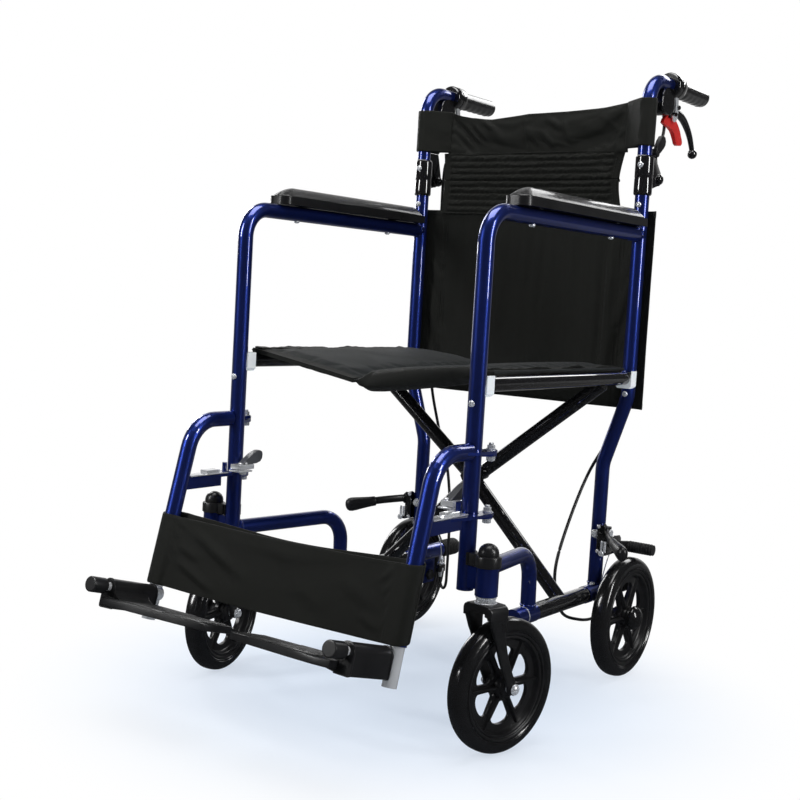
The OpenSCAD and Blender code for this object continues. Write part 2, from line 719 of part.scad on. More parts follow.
// Release paddle behind the hinge, pinned to the post's leaf
release_y = 458;
release_z = 822;
module back_release() {
    arm_x = up_x + 5.5;
    paddle = [arm_x, release_y + 20, release_z + 24];
    color("black") {
        bar_x([arm_x - 3, release_y, release_z], 5, 6);
        difference() {
            union() {
                rod([arm_x, release_y, release_z], paddle, 3);
                bar_x(paddle - [3.5, 0, 0], 9, 7);
            }
            translate([up_x, post_y, hinge_top_z - 16]) cylinder(r = 14.5, h = 100);
        }
    }
}

// Hand-brake lever, hanging back from its pin to a ball end
module brake_lever() {
    pin = [up_x, lever_pin_y, lever_pin_z];
    knee = pin + [0, 40, -12];
    bend = pin + [0, 72, -36];
    ball = pin + [0, 87, -61];
    color("black") {
        bar_x(pin - [4.5, 0, 0], 7, 9);
        bar_x(pin - [11, 0, 0], 3, 22);
        rod(pin, knee, 4);
        rod(pin + (knee - pin) * 0.5, knee, 5.2);
        rod(knee, bend, 5.2);
        rod(bend, ball, 4.6);
        translate(knee) sphere(r = 5.2);
        translate(bend) sphere(r = 5.2);
        translate(ball) sphere(r = 8);
    }
}

// Red tab that holds the squeezed lever
module lock_tab() {
    color("red") {
        bar_x([up_x - 11, tab_pin_y, tab_pin_z], 2, 22);
        translate([up_x - 3, 0, 0]) rotate([90, 0, 90]) linear_extrude(6)
            translate([tab_pin_y, tab_pin_z])
                polygon([[-4, 3], [4, 4], [16, -9], [30, -15], [35, -23], [48, -37], [46, -42],
                    [26, -44], [19, -30], [13, -25], [-3, -9]]);
    }
}

// Cross brace: from the lower pivot tube on the chair's left to the seat rail on its right
module brace(y) {
    module pivot_tube() {
        bar_y([pivot_x, socket_front_y + gap, pivot_z], 12.7, socket_rear_y - socket_front_y - 2 * gap);
        bar_y([pivot_x, socket_front_y - spigot_l + gap, pivot_z], spigot_r,
            socket_rear_y - socket_front_y + 2 * spigot_l - 2 * gap);
    }
    color("black") union() {
        pivot_tube();
        run([[pivot_x, y, pivot_z], [0, y, cross_z], [-up_x, y, brace_top_z]], tube_r, 4 * bend_r);
        bar_y([-up_x, rail_start_y, seat_z], rail_r, rail_end_y - rail_start_y);
    }
}

// First brace, with the bolt on which the braces cross
module brace_a() {
    brace(brace_y - brace_gap);
    color("black") bar_y([0, brace_y - 2 * brace_gap - 4, cross_z], cross_bolt_r, 4 * brace_gap + 8);
}

// Second brace, drilled for the bolt
module brace_b() {
    difference() {
        mirror([1, 0, 0]) brace(brace_y + brace_gap);
        bar_y([0, brace_y - 10, cross_z], cross_bolt_r + play, 60);
    }
}

// Seat sling: sagging sheet with a padded front roll and edges folded over the rails
seat_front_y = 29;
seat_rear_y = frame_d - 29;
module seat_sling() {
    rows = 11;
    cols = 29;
    edge_x = up_x + 14;
    rail_top = seat_z + rail_r + gap;
    function sling_y(i) = mix(seat_front_y, seat_rear_y, pow(i / (rows - 1), 1.5));
    function roll(i) = exp(-pow((sling_y(i) - 34) / 26, 2));
    function sling_x(j) = edge_x * sin(90 * (2 * j / (cols - 1) - 1));
    function inside(x) = max(0, 1 - pow(abs(x) / (up_x - 14), 2.2));
    function low_z(i, x) = abs(x) > up_x + 12.5 ? seat_z - 4
        : rail_top - seat_sag * inside(x) * (1 - 0.25 * roll(i))
            - 12 * roll(i) * min(1, 3 * inside(x));
    function top_z(i, x) = rail_top + cloth_t - seat_sag * inside(x) * (1 - 0.35 * roll(i))
        + 3 * roll(i) * inside(x);
    color("black") slab(
        [for (i = [0 : rows - 1]) [for (j = [0 : cols - 1])
            [sling_x(j), sling_y(i), top_z(i, sling_x(j))]]],
        [for (i = [0 : rows - 1]) [for (j = [0 : cols - 1])
            [sling_x(j), sling_y(i), low_z(i, sling_x(j))]]]);
}

// Depth of the back's cloth at a place across the chair
function back_curve(x) = back_y + back_sag * max(0, 1 - pow(x / up_x, 2));
split_z = mix(channel_low_z, band_low_z, 0.5);

// Part of the sewn channels between two heights, drawn in at the sides
module channel_panel(z0, z1) {
    n = channels / 2;
    rows = 6 * n + 1;
    cols = 9;
    function z_at(i) = mix(z0, z1, i / (rows - 1));
    function puff(i) = 1.2 + 3.2 * pow(abs(sin(180 * n * i / (rows - 1))), 0.7);
    function height(z) = (z - channel_low_z) / (band_low_z - channel_low_z);
    function half(z) = channel_x - 7 * pow(sin(180 * height(z)), 2);
    function x_at(i, j) = half(z_at(i)) * (2 * j / (cols - 1) - 1);
    function edge(j) = min(1, 0.35 + 5 * min(j, cols - 1 - j) / cols);
    color("black") slab(
        [for (i = [0 : rows - 1]) [for (j = [0 : cols - 1])
            [x_at(i, j), back_curve(x_at(i, j)) - puff(i) * edge(j), z_at(i)]]],
        [for (i = [0 : rows - 1]) [for (j = [0 : cols - 1])
            [x_at(i, j), back_curve(x_at(i, j)) + 2, z_at(i)]]]);
}

// Top band, wrapped round both posts, its upper edge drooping towards the middle
module back_band() {
    rows = 7;
    half_cols = 20;
    seam_x = 168;
    wrap_r = 13.3;
    // Half of the band's plan from the middle outward: sheet, slope to the post, then round the post
    function plan(k) = k < 9 ? [seam_x * k / 8, back_curve(seam_x * k / 8) - 4]
        : k < 12 ? let(t = (k - 8) / 4)
            [mix(seam_x, up_x - 6, t), mix(back_curve(seam_x) - 4, post_y - wrap_r, t)]
        : let(a = -90 + 240 * (k - 12) / (half_cols - 12))
            [up_x + wrap_r * cos(a), post_y + wrap_r * sin(a)];
    function side(k) = k < 0 ? [-plan(-k).x, plan(-k).y] : plan(k);
    function out(k) = let(d = side(min(k + 1, half_cols)) - side(max(k - 1, -half_cols)),
        n = unit([d.y, -d.x])) n;
    function droop(x) = 11 * pow(max(0, 1 - abs(x) / up_x), 0.8);
    function lift(k, t) = mix(band_low_z, band_top_z - droop(side(k).x), t);
    function crease(k, t) = abs(k) < 9 ? 1.6 * sin(140 * k + 220 * t) * sin(180 * t) : 0;
    function at(k, t, d) = let(p = side(k) + out(k) * d) [p.x, p.y, lift(k, t)];
    color("black") slab(
        [for (i = [0 : rows - 1]) [for (k = [-half_cols : half_cols])
            at(k, i / (rows - 1), 2.5 + crease(k, i / (rows - 1)))]],
        [for (i = [0 : rows - 1]) [for (k = [-half_cols : half_cols]) at(k, i / (rows - 1), 0)]]);
}

// Upper half of the back's upholstery
module back_upper() {
    back_band();
    channel_panel(split_z + 0.2, band_low_z - 0.6);
}

// Lower half: the rest of the channels and the wide panel that hangs behind the rear uprights
module back_lower() {
    rows = 8;
    cols = 29;
    function x_at(j) = panel_x * (2 * j / (cols - 1) - 1);
    function z_at(i) = mix(panel_low_z, channel_low_z - 0.6, i / (rows - 1));
    function seam(x) = 1.6 * exp(-pow((abs(x) - 168) / 5, 2));
    function fold(x) = 2.2 * sin(x * 2.1) * sin(x * 0.7 + 40) * (1 - 0.6 * abs(x) / panel_x);
    function y_at(x) = (abs(x) > up_x + 13 ? back_y - 5 : back_curve(x) + 0.2 + fold(x));
    color("black") slab(
        [for (i = [0 : rows - 1]) [for (j = [0 : cols - 1]) let(x = x_at(j), z = z_at(i))
            [x, y_at(x) - 1.5 + seam(x), z]]],
        [for (i = [0 : rows - 1]) [for (j = [0 : cols - 1]) let(x = x_at(j), z = z_at(i))
            [x, y_at(x) + 2.5, z]]]);
    channel_panel(channel_low_z, split_z - 0.2);
}

// Calf strap: one band looped round both hangers, with soft folds in its front layer
strap_low_z = 169;
strap_top_z = 263;
module calf_strap() {
    rows = 6;
    straight = 14;
    round = 8;
    inner_r = tube_r + 0.8;
    thick = 2.4;
    n = 2 * (straight + round);
    function plan(k, r) = k < straight ? let(t = k / straight) [mix(-hanger_x, hanger_x, t), -r]
        : k < straight + round ? let(a = -90 + 180 * (k - straight) / round)
            [hanger_x + r * cos(a), r * sin(a)]
        : k < 2 * straight + round ? let(t = (k - straight - round) / straight)
            [mix(hanger_x, -hanger_x, t), r]
        : let(a = 90 + 180 * (k - 2 * straight - round) / round)
            [-hanger_x + r * cos(a), r * sin(a)];
    function fold(k, t) = k > 0 && k < straight ? 3 * sin(180 * k / straight) * sin(150 * t + 40 * k) : 0;
    function at(k, i, r) = let(t = i / (rows - 1), z = mix(strap_low_z, strap_top_z, t), p = plan(k, r))
        [p.x, hanger_y(z) + p.y - fold(k, t), z];
    pts = concat([for (i = [0 : rows - 1]) for (k = [0 : n - 1]) at(k, i, inner_r + thick)],
        [for (i = [0 : rows - 1]) for (k = [0 : n - 1]) at(k, i, inner_r)]);
    base = rows * n;
    walls = [for (i = [0 : rows - 2]) for (k = [0 : n - 1]) let(m = (k + 1) % n) each [
        [i * n + k, (i + 1) * n + k, i * n + m], [i * n + m, (i + 1) * n + k, (i + 1) * n + m],
        [base + i * n + k, base + i * n + m, base + (i + 1) * n + k],
        [base + i * n + m, base + (i + 1) * n + m, base + (i + 1) * n + k]]];
    last = (rows - 1) * n;
    rims = [for (k = [0 : n - 1]) let(m = (k + 1) % n) each [
        [k, m, base + k], [m, base + m, base + k],
        [last + k, base + last + k, last + m], [last + m, base + last + k, base + last + m]]];
    color("black") polyhedron(pts, concat(walls, rims));
}

// Sides of the chair: parts are drawn for the left side and mirrored for the right
module middle() { translate([0, -middle_y, 0]) children(); }
module left() { middle() children(); }
module right() { middle() mirror([1, 0, 0]) children(); }

left() front_tube();  // left_front_tube
right() front_tube();  // right_front_tube
left() rear_tube();  // left_rear_tube
right() rear_tube();  // right_rear_tube
left() lower_tube();  // left_lower_tube
right() lower_tube();  // right_lower_tube
left() barrel_cap();  // left_barrel_cap
right() barrel_cap();  // right_barrel_cap
left() armrest_pad();  // left_armrest_pad
right() armrest_pad();  // right_armrest_pad
left() rail_saddles();  // left_rail_saddles
right() rail_saddles();  // right_rail_saddles
left() lock_bracket();  // left_lock_bracket
right() lock_bracket();  // right_lock_bracket
left() lock_lever();  // left_lock_lever
right() lock_lever();  // right_lock_lever
left() brake_arm();  // left_brake_arm
right() brake_arm();  // right_brake_arm
left() tipping_sleeve();  // left_tipping_sleeve
right() tipping_sleeve();  // right_tipping_sleeve
left() left_brake_cable();
right() right_brake_cable();
left() caster_fork();  // left_caster_fork
right() caster_fork();  // right_caster_fork
left() front_wheel();  // left_front_wheel
right() front_wheel();  // right_front_wheel
left() front_tyre();  // left_front_tyre
right() front_tyre();  // right_front_tyre
left() rear_wheel();  // left_rear_wheel
right() rear_wheel();  // right_rear_wheel
left() rear_tyre();  // left_rear_tyre
right() rear_tyre();  // right_rear_tyre
left() hanger();  // left_hanger
right() hanger();  // right_hanger
left() hanger_latch();  // left_hanger_latch
right() hanger_latch();  // right_hanger_latch
left() slide_tube();  // left_slide_tube
right() slide_tube();  // right_slide_tube
left() hinge_rod();  // left_hinge_rod
right() hinge_rod();  // right_hinge_rod
left() footplate();  // left_footplate
right() footplate();  // right_footplate
left() back_hinge();  // left_back_hinge
right() back_hinge();  // right_back_hinge
left() back_post();  // left_back_post
right() back_post();  // right_back_post
left() back_fittings();  // left_back_fittings
right() back_fittings();  // right_back_fittings
left() back_release();  // left_back_release
right() back_release();  // right_back_release
left() brake_lever();  // left_brake_lever
right() brake_lever();  // right_brake_lever
left() lock_tab();  // left_lock_tab
right() lock_tab();  // right_lock_tab
middle() brace_a();
middle() brace_b();
middle() seat_sling();
middle() back_upper();
middle() back_lower();
middle() calf_strap();
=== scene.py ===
import math

import bmesh
import bpy
import numpy as np
from mathutils import Matrix, Vector, noise


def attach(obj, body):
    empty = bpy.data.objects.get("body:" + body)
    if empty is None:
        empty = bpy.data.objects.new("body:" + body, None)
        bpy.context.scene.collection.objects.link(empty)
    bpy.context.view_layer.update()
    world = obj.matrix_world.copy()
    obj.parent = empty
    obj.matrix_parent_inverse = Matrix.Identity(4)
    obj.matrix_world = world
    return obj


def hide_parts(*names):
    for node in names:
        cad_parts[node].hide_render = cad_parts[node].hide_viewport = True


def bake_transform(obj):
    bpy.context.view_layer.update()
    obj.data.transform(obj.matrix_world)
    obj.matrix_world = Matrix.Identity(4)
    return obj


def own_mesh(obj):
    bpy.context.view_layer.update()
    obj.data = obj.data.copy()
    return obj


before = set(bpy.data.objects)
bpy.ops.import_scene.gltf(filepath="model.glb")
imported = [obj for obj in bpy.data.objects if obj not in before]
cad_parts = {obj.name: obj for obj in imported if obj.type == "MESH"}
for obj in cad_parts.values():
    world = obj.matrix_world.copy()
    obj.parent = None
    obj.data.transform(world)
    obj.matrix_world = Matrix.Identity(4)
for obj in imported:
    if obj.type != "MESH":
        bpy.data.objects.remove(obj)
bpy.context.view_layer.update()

# Camera.
# It stands left of and in front of the chair, a little above the armrests, and is rolled by
# about three degrees. Its place was found from the chair's own tubes and wheels.
photo_px = 800
focal_px = 1252.6
sensor_mm = 36
camera_right = Vector((0.80589, 0.58925, 0.05737))
camera_up = Vector((-0.09459, 0.03251, 0.99496))
camera_ahead = Vector((-0.58443, 0.80728, -0.08194))
scene = bpy.context.scene
camera = bpy.data.objects.new("camera", bpy.data.cameras.new("camera"))
scene.collection.objects.link(camera)
scene.camera = camera
camera.data.sensor_width = sensor_mm
camera.data.lens = focal_px / photo_px * sensor_mm
camera.matrix_world = Matrix.Translation((1.0571, -1.5212, 0.5812)) @ Matrix(
    (camera_right, camera_up, -camera_ahead)).transposed().to_4x4()

# Studio.
# A pale floor with painted bluish shade on it round the chair that runs out into white, soft boxes on both
# sides, overhead and behind, and a room that is dim in front of the chair, so that black paint and chrome
# keep their contrast.
scene.view_settings.view_transform = "Standard"


class Finish:
    """A socket in a finish's node tree. Arithmetic on it adds Math nodes, node() adds any other."""

    def __init__(self, tree, socket=None):
        self.tree, self.socket = tree, socket

    def node(self, kind, settings=None, inputs=None, out=0):
        made = self.tree.nodes.new(kind)
        for key, value in (settings or {}).items():
            if key == "stops":
                for stop, (where, colour) in zip(made.color_ramp.elements, value):
                    stop.position, stop.color = where, colour
            else:
                setattr(made, key, value)
        for key, value in (inputs or {}).items():
            if isinstance(value, Finish):
                self.tree.links.new(value.socket, made.inputs[key])
            else:
                made.inputs[key].default_value = value
        return Finish(self.tree, made.outputs[out])

    def sum_of(self, operation, first, second):
        return self.node("ShaderNodeMath", {"operation": operation}, {0: first, 1: second})

    def __add__(self, other):
        return self.sum_of("ADD", self, other)

    __radd__ = __add__

    def __sub__(self, other):
        return self.sum_of("SUBTRACT", self, other)

    def __rsub__(self, other):
        return self.sum_of("SUBTRACT", other, self)

    def __mul__(self, other):
        return self.sum_of("MULTIPLY", self, other)

    __rmul__ = __mul__

    def feed(self, shader, socket):
        self.tree.links.new(self.socket, shader.inputs[socket])


# The near tint of the floor's glow is painted shade: darker and bluer round the chair, white beyond.
floor_colour = (0.84, 0.90, 0.98, 1)
floor_painted_shade_tint = (0.74, 0.84, 0.99, 1)
floor_mesh = bpy.data.meshes.new("floor")
floor_mesh.from_pydata([(-9, -9, 0), (9, -9, 0), (9, 9, 0), (-9, 9, 0)], [], [(0, 1, 2, 3)])
floor = bpy.data.objects.new("floor", floor_mesh)
scene.collection.objects.link(floor)
floor.location.z = -0.0005
floor_finish = bpy.data.materials.new("studio_floor")
floor_finish.use_nodes = True
floor_tree = floor_finish.node_tree
floor_shader = floor_tree.nodes["Principled BSDF"]
floor_shader.inputs["Base Color"].default_value = floor_colour
floor_shader.inputs["Roughness"].default_value = 0.8
floor_shader.inputs["Specular IOR Level"].default_value = 0.1
floor_place = Finish(floor_tree).node("ShaderNodeTexCoord", out="Object")
floor_reach = floor_place.node("ShaderNodeVectorMath", {"operation": "LENGTH"}, {0: floor_place}, "Value")
# Painted shade: the glow fades from the bluish tint near the chair to white at 0.6 m.
floor_painted_shade_fade = floor_place.node("ShaderNodeMapRange", {"interpolation_type": "SMOOTHSTEP"},
    {"Value": floor_reach, "From Min": 0.12, "From Max": 0.60})
floor_shade_to_white = floor_place.node("ShaderNodeMix", {"data_type": "RGBA"},
    {0: floor_painted_shade_fade, 6: floor_painted_shade_tint, 7: (1, 1, 1, 1)}, 2)
floor_side = floor_place.node("ShaderNodeVectorMath", {"operation": "DOT_PRODUCT"},
    {0: floor_place, 1: tuple(camera_ahead)}, "Value")
floor_dim = floor_place.node("ShaderNodeMapRange", {"interpolation_type": "SMOOTHSTEP"},
    {"Value": floor_side, "From Min": 0.0, "From Max": 1.6, "To Min": 0.04, "To Max": 0.18})
floor_seen = floor_place.node("ShaderNodeLightPath", out="Is Camera Ray")
floor_mirrored = floor_place.node("ShaderNodeLightPath", out="Is Glossy Ray")
floor_glow = floor_place.node("ShaderNodeEmission", {}, {"Color": floor_shade_to_white,
    "Strength": 1 - floor_mirrored * (1 - floor_dim)})
floor_mix = floor_place.node("ShaderNodeMixShader", {},
    {0: (0.55 + floor_painted_shade_fade * 0.45) * floor_seen + floor_mirrored,
    1: Finish(floor_tree, floor_shader.outputs[0]), 2: floor_glow})
floor_mix.feed(floor_tree.nodes["Material Output"], "Surface")
floor.data.materials.append(floor_finish)

world = bpy.data.worlds.new("studio_world")
scene.world = world
world.use_nodes = True
world_tree = world.node_tree
world_place = Finish(world_tree).node("ShaderNodeTexCoord", out="Generated")
room_side = world_place.node("ShaderNodeVectorMath", {"operation": "DOT_PRODUCT"},
    {0: world_place, 1: tuple(camera_ahead)}, "Value")
room_light = world_place.node("ShaderNodeMapRange", {"interpolation_type": "SMOOTHSTEP"},
    {"Value": room_side, "From Min": 0.55, "From Max": 0.97, "To Min": 0.035, "To Max": 0.9})
world_seen = world_place.node("ShaderNodeLightPath", out="Is Camera Ray")
world_mirrored = world_place.node("ShaderNodeLightPath", out="Is Glossy Ray")
world_through = world_place.node("ShaderNodeLightPath", out="Is Transmission Ray")
world_base = 0.30
world_strength = (world_seen + world_through) + world_mirrored * room_light + (
    1 - world_seen - world_mirrored - world_through) * world_base
world_back = world_tree.nodes["Background"]
world_back.inputs["Color"].default_value = (1, 1, 1, 1)
world_strength.feed(world_back, "Strength")


def soft_box(name, place, aim, size, watts):
    lamp = bpy.data.lights.new(name, "AREA")
    lamp.shape, lamp.size, lamp.size_y, lamp.energy = "RECTANGLE", size[0], size[1], watts
    holder = bpy.data.objects.new(name, lamp)
    scene.collection.objects.link(holder)
    holder.location = place
    holder.rotation_mode = "QUATERNION"
    holder.rotation_quaternion = (Vector(aim) - Vector(place)).to_track_quat("-Z", "Y")


soft_box("overhead_box", (0.1, -0.2, 2.6), (0, 0, 0.4), (1.6, 1.4), 34)
soft_box("left_box", (2.3, 0.1, 1.3), (0, 0, 0.5), (0.25, 1.5), 24)
soft_box("front_box", (-1.3, -2.2, 1.5), (0, 0, 0.5), (0.3, 1.4), 30)
soft_box("right_box", (-2.4, 0.9, 1.5), (0, 0, 0.5), (0.4, 1.6), 20)
soft_box("rear_box", (0.1, 2.4, 2.0), (0, 0, 0.6), (1.5, 0.7), 16)

# Side frames, push-handle posts and footrest hangers.
# Cold-bent steel tube, 22 mm, welded at the joints and painted in a deep blue metallic gloss
# under a clear coat.
SIDES = ("left", "right")
middle_y = 180


def new_finish(name, **constants):
    material = bpy.data.materials.new(name)
    material.use_nodes = True
    shader = material.node_tree.nodes["Principled BSDF"]
    for socket, value in constants.items():
        shader.inputs[socket.replace("_", " ")].default_value = value
    place = Finish(material.node_tree).node("ShaderNodeTexCoord", out="Object")
    return material, shader, place


def grain(place, scale, detail):
    return place.node("ShaderNodeTexNoise", {}, {"Vector": place, "Scale": scale, "Detail": detail}, "Fac")


def between(place, share, first, second):
    return place.node("ShaderNodeMix", {"data_type": "RGBA"}, {0: share, 6: first, 7: second}, 2)


def relief(place, height, strength, depth):
    return place.node("ShaderNodeBump", {}, {"Height": height, "Strength": strength, "Distance": depth},
        "Normal")


frame_paint, shader, place = new_finish("frame_paint", Metallic=0.85, Coat_Weight=1.0,
    Coat_Roughness=0.03, Coat_IOR=1.6, Specular_IOR_Level=0.3)
flake = grain(place, 2600, 1.0)
cloudy = grain(place, 14, 3.0)
between(place, flake * 0.7 + cloudy * 0.3, (0.008, 0.018, 0.12, 1), (0.022, 0.050, 0.34, 1)).feed(
    shader, "Base Color")
(0.24 + cloudy * 0.14).feed(shader, "Roughness")
relief(place, grain(place, 320, 1.0), 0.03, 0.001).feed(shader, "Normal")


def coat_nodes(finish, *nodes):
    for node in nodes:
        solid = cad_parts[node]
        solid.data.materials.clear()
        solid.data.materials.append(finish)
        solid.data.polygons.foreach_set("use_smooth", [True] * len(solid.data.polygons))
        solid.data.set_sharp_from_angle(angle=math.radians(34))


for side in SIDES:
    coat_nodes(frame_paint, *(f"{side}_{tube}" for tube in (
        "front_tube", "rear_tube", "lower_tube", "back_post", "hanger")))


def piece(name, form, finish, body, side="left", sharp=34):
    """Turns a form in millimetres, drawn for the left side, into a piece that rides on a body."""
    for corner in form.verts:
        corner.co = Vector((corner.co.x * (1 if side == "left" else -1), corner.co.y - middle_y,
            corner.co.z)) / 1000
    bmesh.ops.recalc_face_normals(form, faces=form.faces)
    mesh = bpy.data.meshes.new(name)
    form.to_mesh(mesh)
    form.free()
    mesh.polygons.foreach_set("use_smooth", [True] * len(mesh.polygons))
    mesh.set_sharp_from_angle(angle=math.radians(sharp))
    mesh.materials.append(finish)
    made = bpy.data.objects.new(name, mesh)
    scene.collection.objects.link(made)
    if body:
        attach(made, body)
    return made


def part(side, name, form, finish, body, node=None, sharp=34):
    """Piece of one side. The side comes before its name, its body and the CAD node that it replaces."""
    made = piece(f"{side}_{name}", form, finish, f"{side}_{body}", side, sharp)
    if node:
        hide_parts(f"{side}_{node}")
    return made


def across(direction):
    """Two directions at right angles to the given one."""
    direction = Vector(direction).normalized()
    helper = Vector((0, 0, 1)) if abs(direction.z) < 0.9 else Vector((1, 0, 0))
    first = direction.cross(helper).normalized()
    return first, direction.cross(first).normalized()


def skin(form, low, high):
    """Faces between two rings of equal count. Corners that fall together are taken once."""
    for k in range(len(low)):
        n = (k + 1) % len(low)
        corners = list(dict.fromkeys((low[k], low[n], high[n], high[k])))
        if len(corners) > 2:
            form.faces.new(corners)


def turned(form, profile, origin, axis, sides=32, closed=False):
    """Turned shape: profile of (distance along the axis, radius). A closed profile makes a ring, an open one
    has flat ends where its radius isn't 0."""
    axis = Vector(axis).normalized()
    first, second = across(axis)
    spread = [first * math.cos(2 * math.pi * k / sides) + second * math.sin(2 * math.pi * k / sides)
        for k in range(sides)]
    rings = []
    for along, radius in profile:
        centre = Vector(origin) + axis * along
        on_axis = radius < 1e-6
        rings.append([form.verts.new(centre)] * sides if on_axis else [
            form.verts.new(centre + radius * out) for out in spread])
    for low, high in zip(rings, rings[1:] + rings[:1] if closed else rings[1:]):
        skin(form, low, high)
    if closed:
        return
    for ring, flip in ((rings[0], True), (rings[-1], False)):
        if ring[0] is not ring[1]:
            form.faces.new(ring[::-1] if flip else ring)


def ring_of(form, profile, origin, axis, sides):
    turned(form, profile, origin, axis, sides, closed=True)


def weld_bead(form, origin, axis, ring_r, bead_r=1.7, sides=64):
    """Rippled fillet round a tube's end."""
    axis = Vector(axis).normalized()
    first, second = across(axis)
    rings = []
    for k in range(sides):
        a = 2 * math.pi * k / sides
        out = first * math.cos(a) + second * math.sin(a)
        r = bead_r * (0.86 + 0.2 * abs(math.sin(a * 11)))
        ring = []
        for b in (j * math.pi / 4 for j in range(8)):
            ring.append(form.verts.new(Vector(origin) + out * (ring_r + r * math.cos(b))
                + axis * r * math.sin(b)))
        rings.append(ring)
    for ring, ahead in zip(rings, rings[1:] + rings[:1]):
        for j in range(8):
            m = (j + 1) % 8
            form.faces.new((ring[j], ahead[j], ahead[m], ring[m]))


tube_r = 11.1
up_x = 206
rear_y = 435
arm_z = 697
pivot_x, pivot_z = 175, 135
for side in SIDES:
    beads = bmesh.new()
    weld_bead(beads, (up_x, rear_y - tube_r - 0.4, arm_z), (0, 1, 0), tube_r - 0.3)
    weld_bead(beads, (up_x - 2.2, 11.4, 228), (-0.14, 1, 0), tube_r - 0.6)
    weld_bead(beads, (172, rear_y, 149), (0, 0, 1), tube_r - 0.4)
    weld_bead(beads, (pivot_x, 222, 149), (0, 0, 1), tube_r - 0.4)
    part(side, "weld_beads", beads, frame_paint, "frame", sharp=80)

# Bolts, nuts and screws of the side frames.
# Zinc-plated steel: pivot bolts of the footrests with a nut above and below each tab, cross-head
# screws under the armrests, at the seat saddles and below the back hinges.


def plain_finish(name, cloud, dark, light, rough, bump, fine=None, **constants):
    """One-colour finish. Noise moves the tone from dark to light and the roughness over a span, and finer
    noise raises the surface. cloud is (scale, detail), rough (base, span), fine (scale, detail, span), bump
    (scale, detail, strength, depth)."""
    finish, shader, place = new_finish(name, **constants)
    cloudy = grain(place, *cloud)
    between(place, cloudy, (*dark, 1), (*light, 1)).feed(shader, "Base Color")
    base, span = rough
    roughness = base + cloudy * span if span else base
    if fine:
        roughness = roughness + grain(place, *fine[:2]) * fine[2]
    roughness.feed(shader, "Roughness")
    relief(place, grain(place, *bump[:2]), *bump[2:]).feed(shader, "Normal")
    return finish


zinc = plain_finish("zinc_plate", (160, 3.0), (0.62, 0.64, 0.67), (0.88, 0.89, 0.92), (0.17, 0),
    (900, 1.0, 0.08, 0.0004), fine=(620, 2.0, 0.2), Metallic=0.6)


def hexagon(form, origin, axis, width, height):
    """Hexagon head or nut with broken corners."""
    r = width / math.sqrt(3)
    turned(form, [(0, 0), (0, r * 0.9), (height * 0.15, r), (height * 0.85, r), (height, r * 0.9),
        (height, 0)], origin, axis, 6)


def washer(form, origin, axis, r, thick):
    turned(form, [(0, 0), (0, r * 0.96), (thick * 0.3, r), (thick * 0.7, r), (thick, r * 0.96), (thick, 0)],
        origin, axis, 28)


def quilt(form, grid, flip=False):
    """Faces over a grid of corners."""
    for near, far in zip(grid, grid[1:]):
        for j in range(len(near) - 1):
            corners = (near[j], far[j], far[j + 1], near[j + 1])
            form.faces.new(corners[::-1] if flip else corners)


def cross_screw(form, origin, axis, r, height):
    """Domed head with a cross recess."""
    axis = Vector(axis).normalized()
    first, second = across(axis)
    steps = (-1, -0.86, -0.68, -0.6, -0.4, -0.19, -0.13, 0.13, 0.19, 0.4, 0.6, 0.68, 0.86, 1)
    grid = []
    for u in steps:
        row = []
        for v in steps:
            a, b = u * math.sqrt(1 - v * v / 2), v * math.sqrt(1 - u * u / 2)
            lift = height * math.sqrt(max(0, 1 - 0.93 * (a * a + b * b)))
            if min(abs(u), abs(v)) < 0.14 and max(abs(u), abs(v)) < 0.61:
                lift -= height * 0.5
            row.append(form.verts.new(Vector(origin) + r * (first * a + second * b) + axis * lift))
        grid.append(row)
    quilt(form, grid)
    turned(form, [(-1.5, r), (height * 0.27, r)], origin, axis, 24)


swing_x, swing_y = 215, 28
for side in SIDES:
    bolts = bmesh.new()
    for low, high in ((303, 311.5), (384, 392.5)):
        washer(bolts, (swing_x, swing_y, high), (0, 0, 1), 6.6, 1.2)
        hexagon(bolts, (swing_x, swing_y, high + 1.2), (0, 0, 1), 9, 4.6)
        turned(bolts, [(high + 5.6, 3.3), (high + 8.2, 3.3), (high + 8.8, 2.6), (high + 8.8, 0)],
            (swing_x, swing_y, 0), (0, 0, 1), 20)
        washer(bolts, (swing_x, swing_y, low - 1.2), (0, 0, 1), 6.6, 1.2)
        hexagon(bolts, (swing_x, swing_y, low - 1.2), (0, 0, -1), 10, 5.2)
    for y in (110, 340):
        cross_screw(bolts, (up_x, y, arm_z - tube_r), (0, 0, -1), 4.4, 3)
    cross_screw(bolts, (up_x, -tube_r, 452), (0, -1, 0), 4.2, 3)
    cross_screw(bolts, (up_x, rear_y - tube_r, 452), (0, -1, 0), 4.2, 3)
    cross_screw(bolts, (up_x, rear_y - tube_r, 742), (0, -1, 0), 4.4, 3.2)
    cross_screw(bolts, (pivot_x, 236, pivot_z + 13.5), (0, 0.25, 1), 4.2, 3)
    cross_screw(bolts, (pivot_x, 421, pivot_z + 13.5), (0, -0.2, 1), 4.2, 3)
    part(side, "frame_bolts", bolts, zinc, "frame")

# Casters: fork, stem bearing and axle.
# Fork moulded in black nylon with horn-shaped legs, on a steel stem that turns in the barrel of the
# side frame, under a pressed bearing disc. The barrel ends in a black domed cap with its collar.
moulded = plain_finish("moulded_black", (26, 3.0), (0.005, 0.005, 0.0055), (0.014, 0.014, 0.015),
    (0.20, 0.14), (1500, 2.0, 0.10, 0.0004), fine=(900, 2.0, 0.08), Specular_IOR_Level=0.5)

chrome = plain_finish("chrome_plate", (60, 4.0), (0.82, 0.83, 0.85), (0.94, 0.95, 0.97), (0.05, 0.10),
    (45, 2.0, 0.04, 0.002), Metallic=0.6)

caster_r, caster_x, caster_y, caster_trail, caster_turn = 89, 241, -4, 38, 12


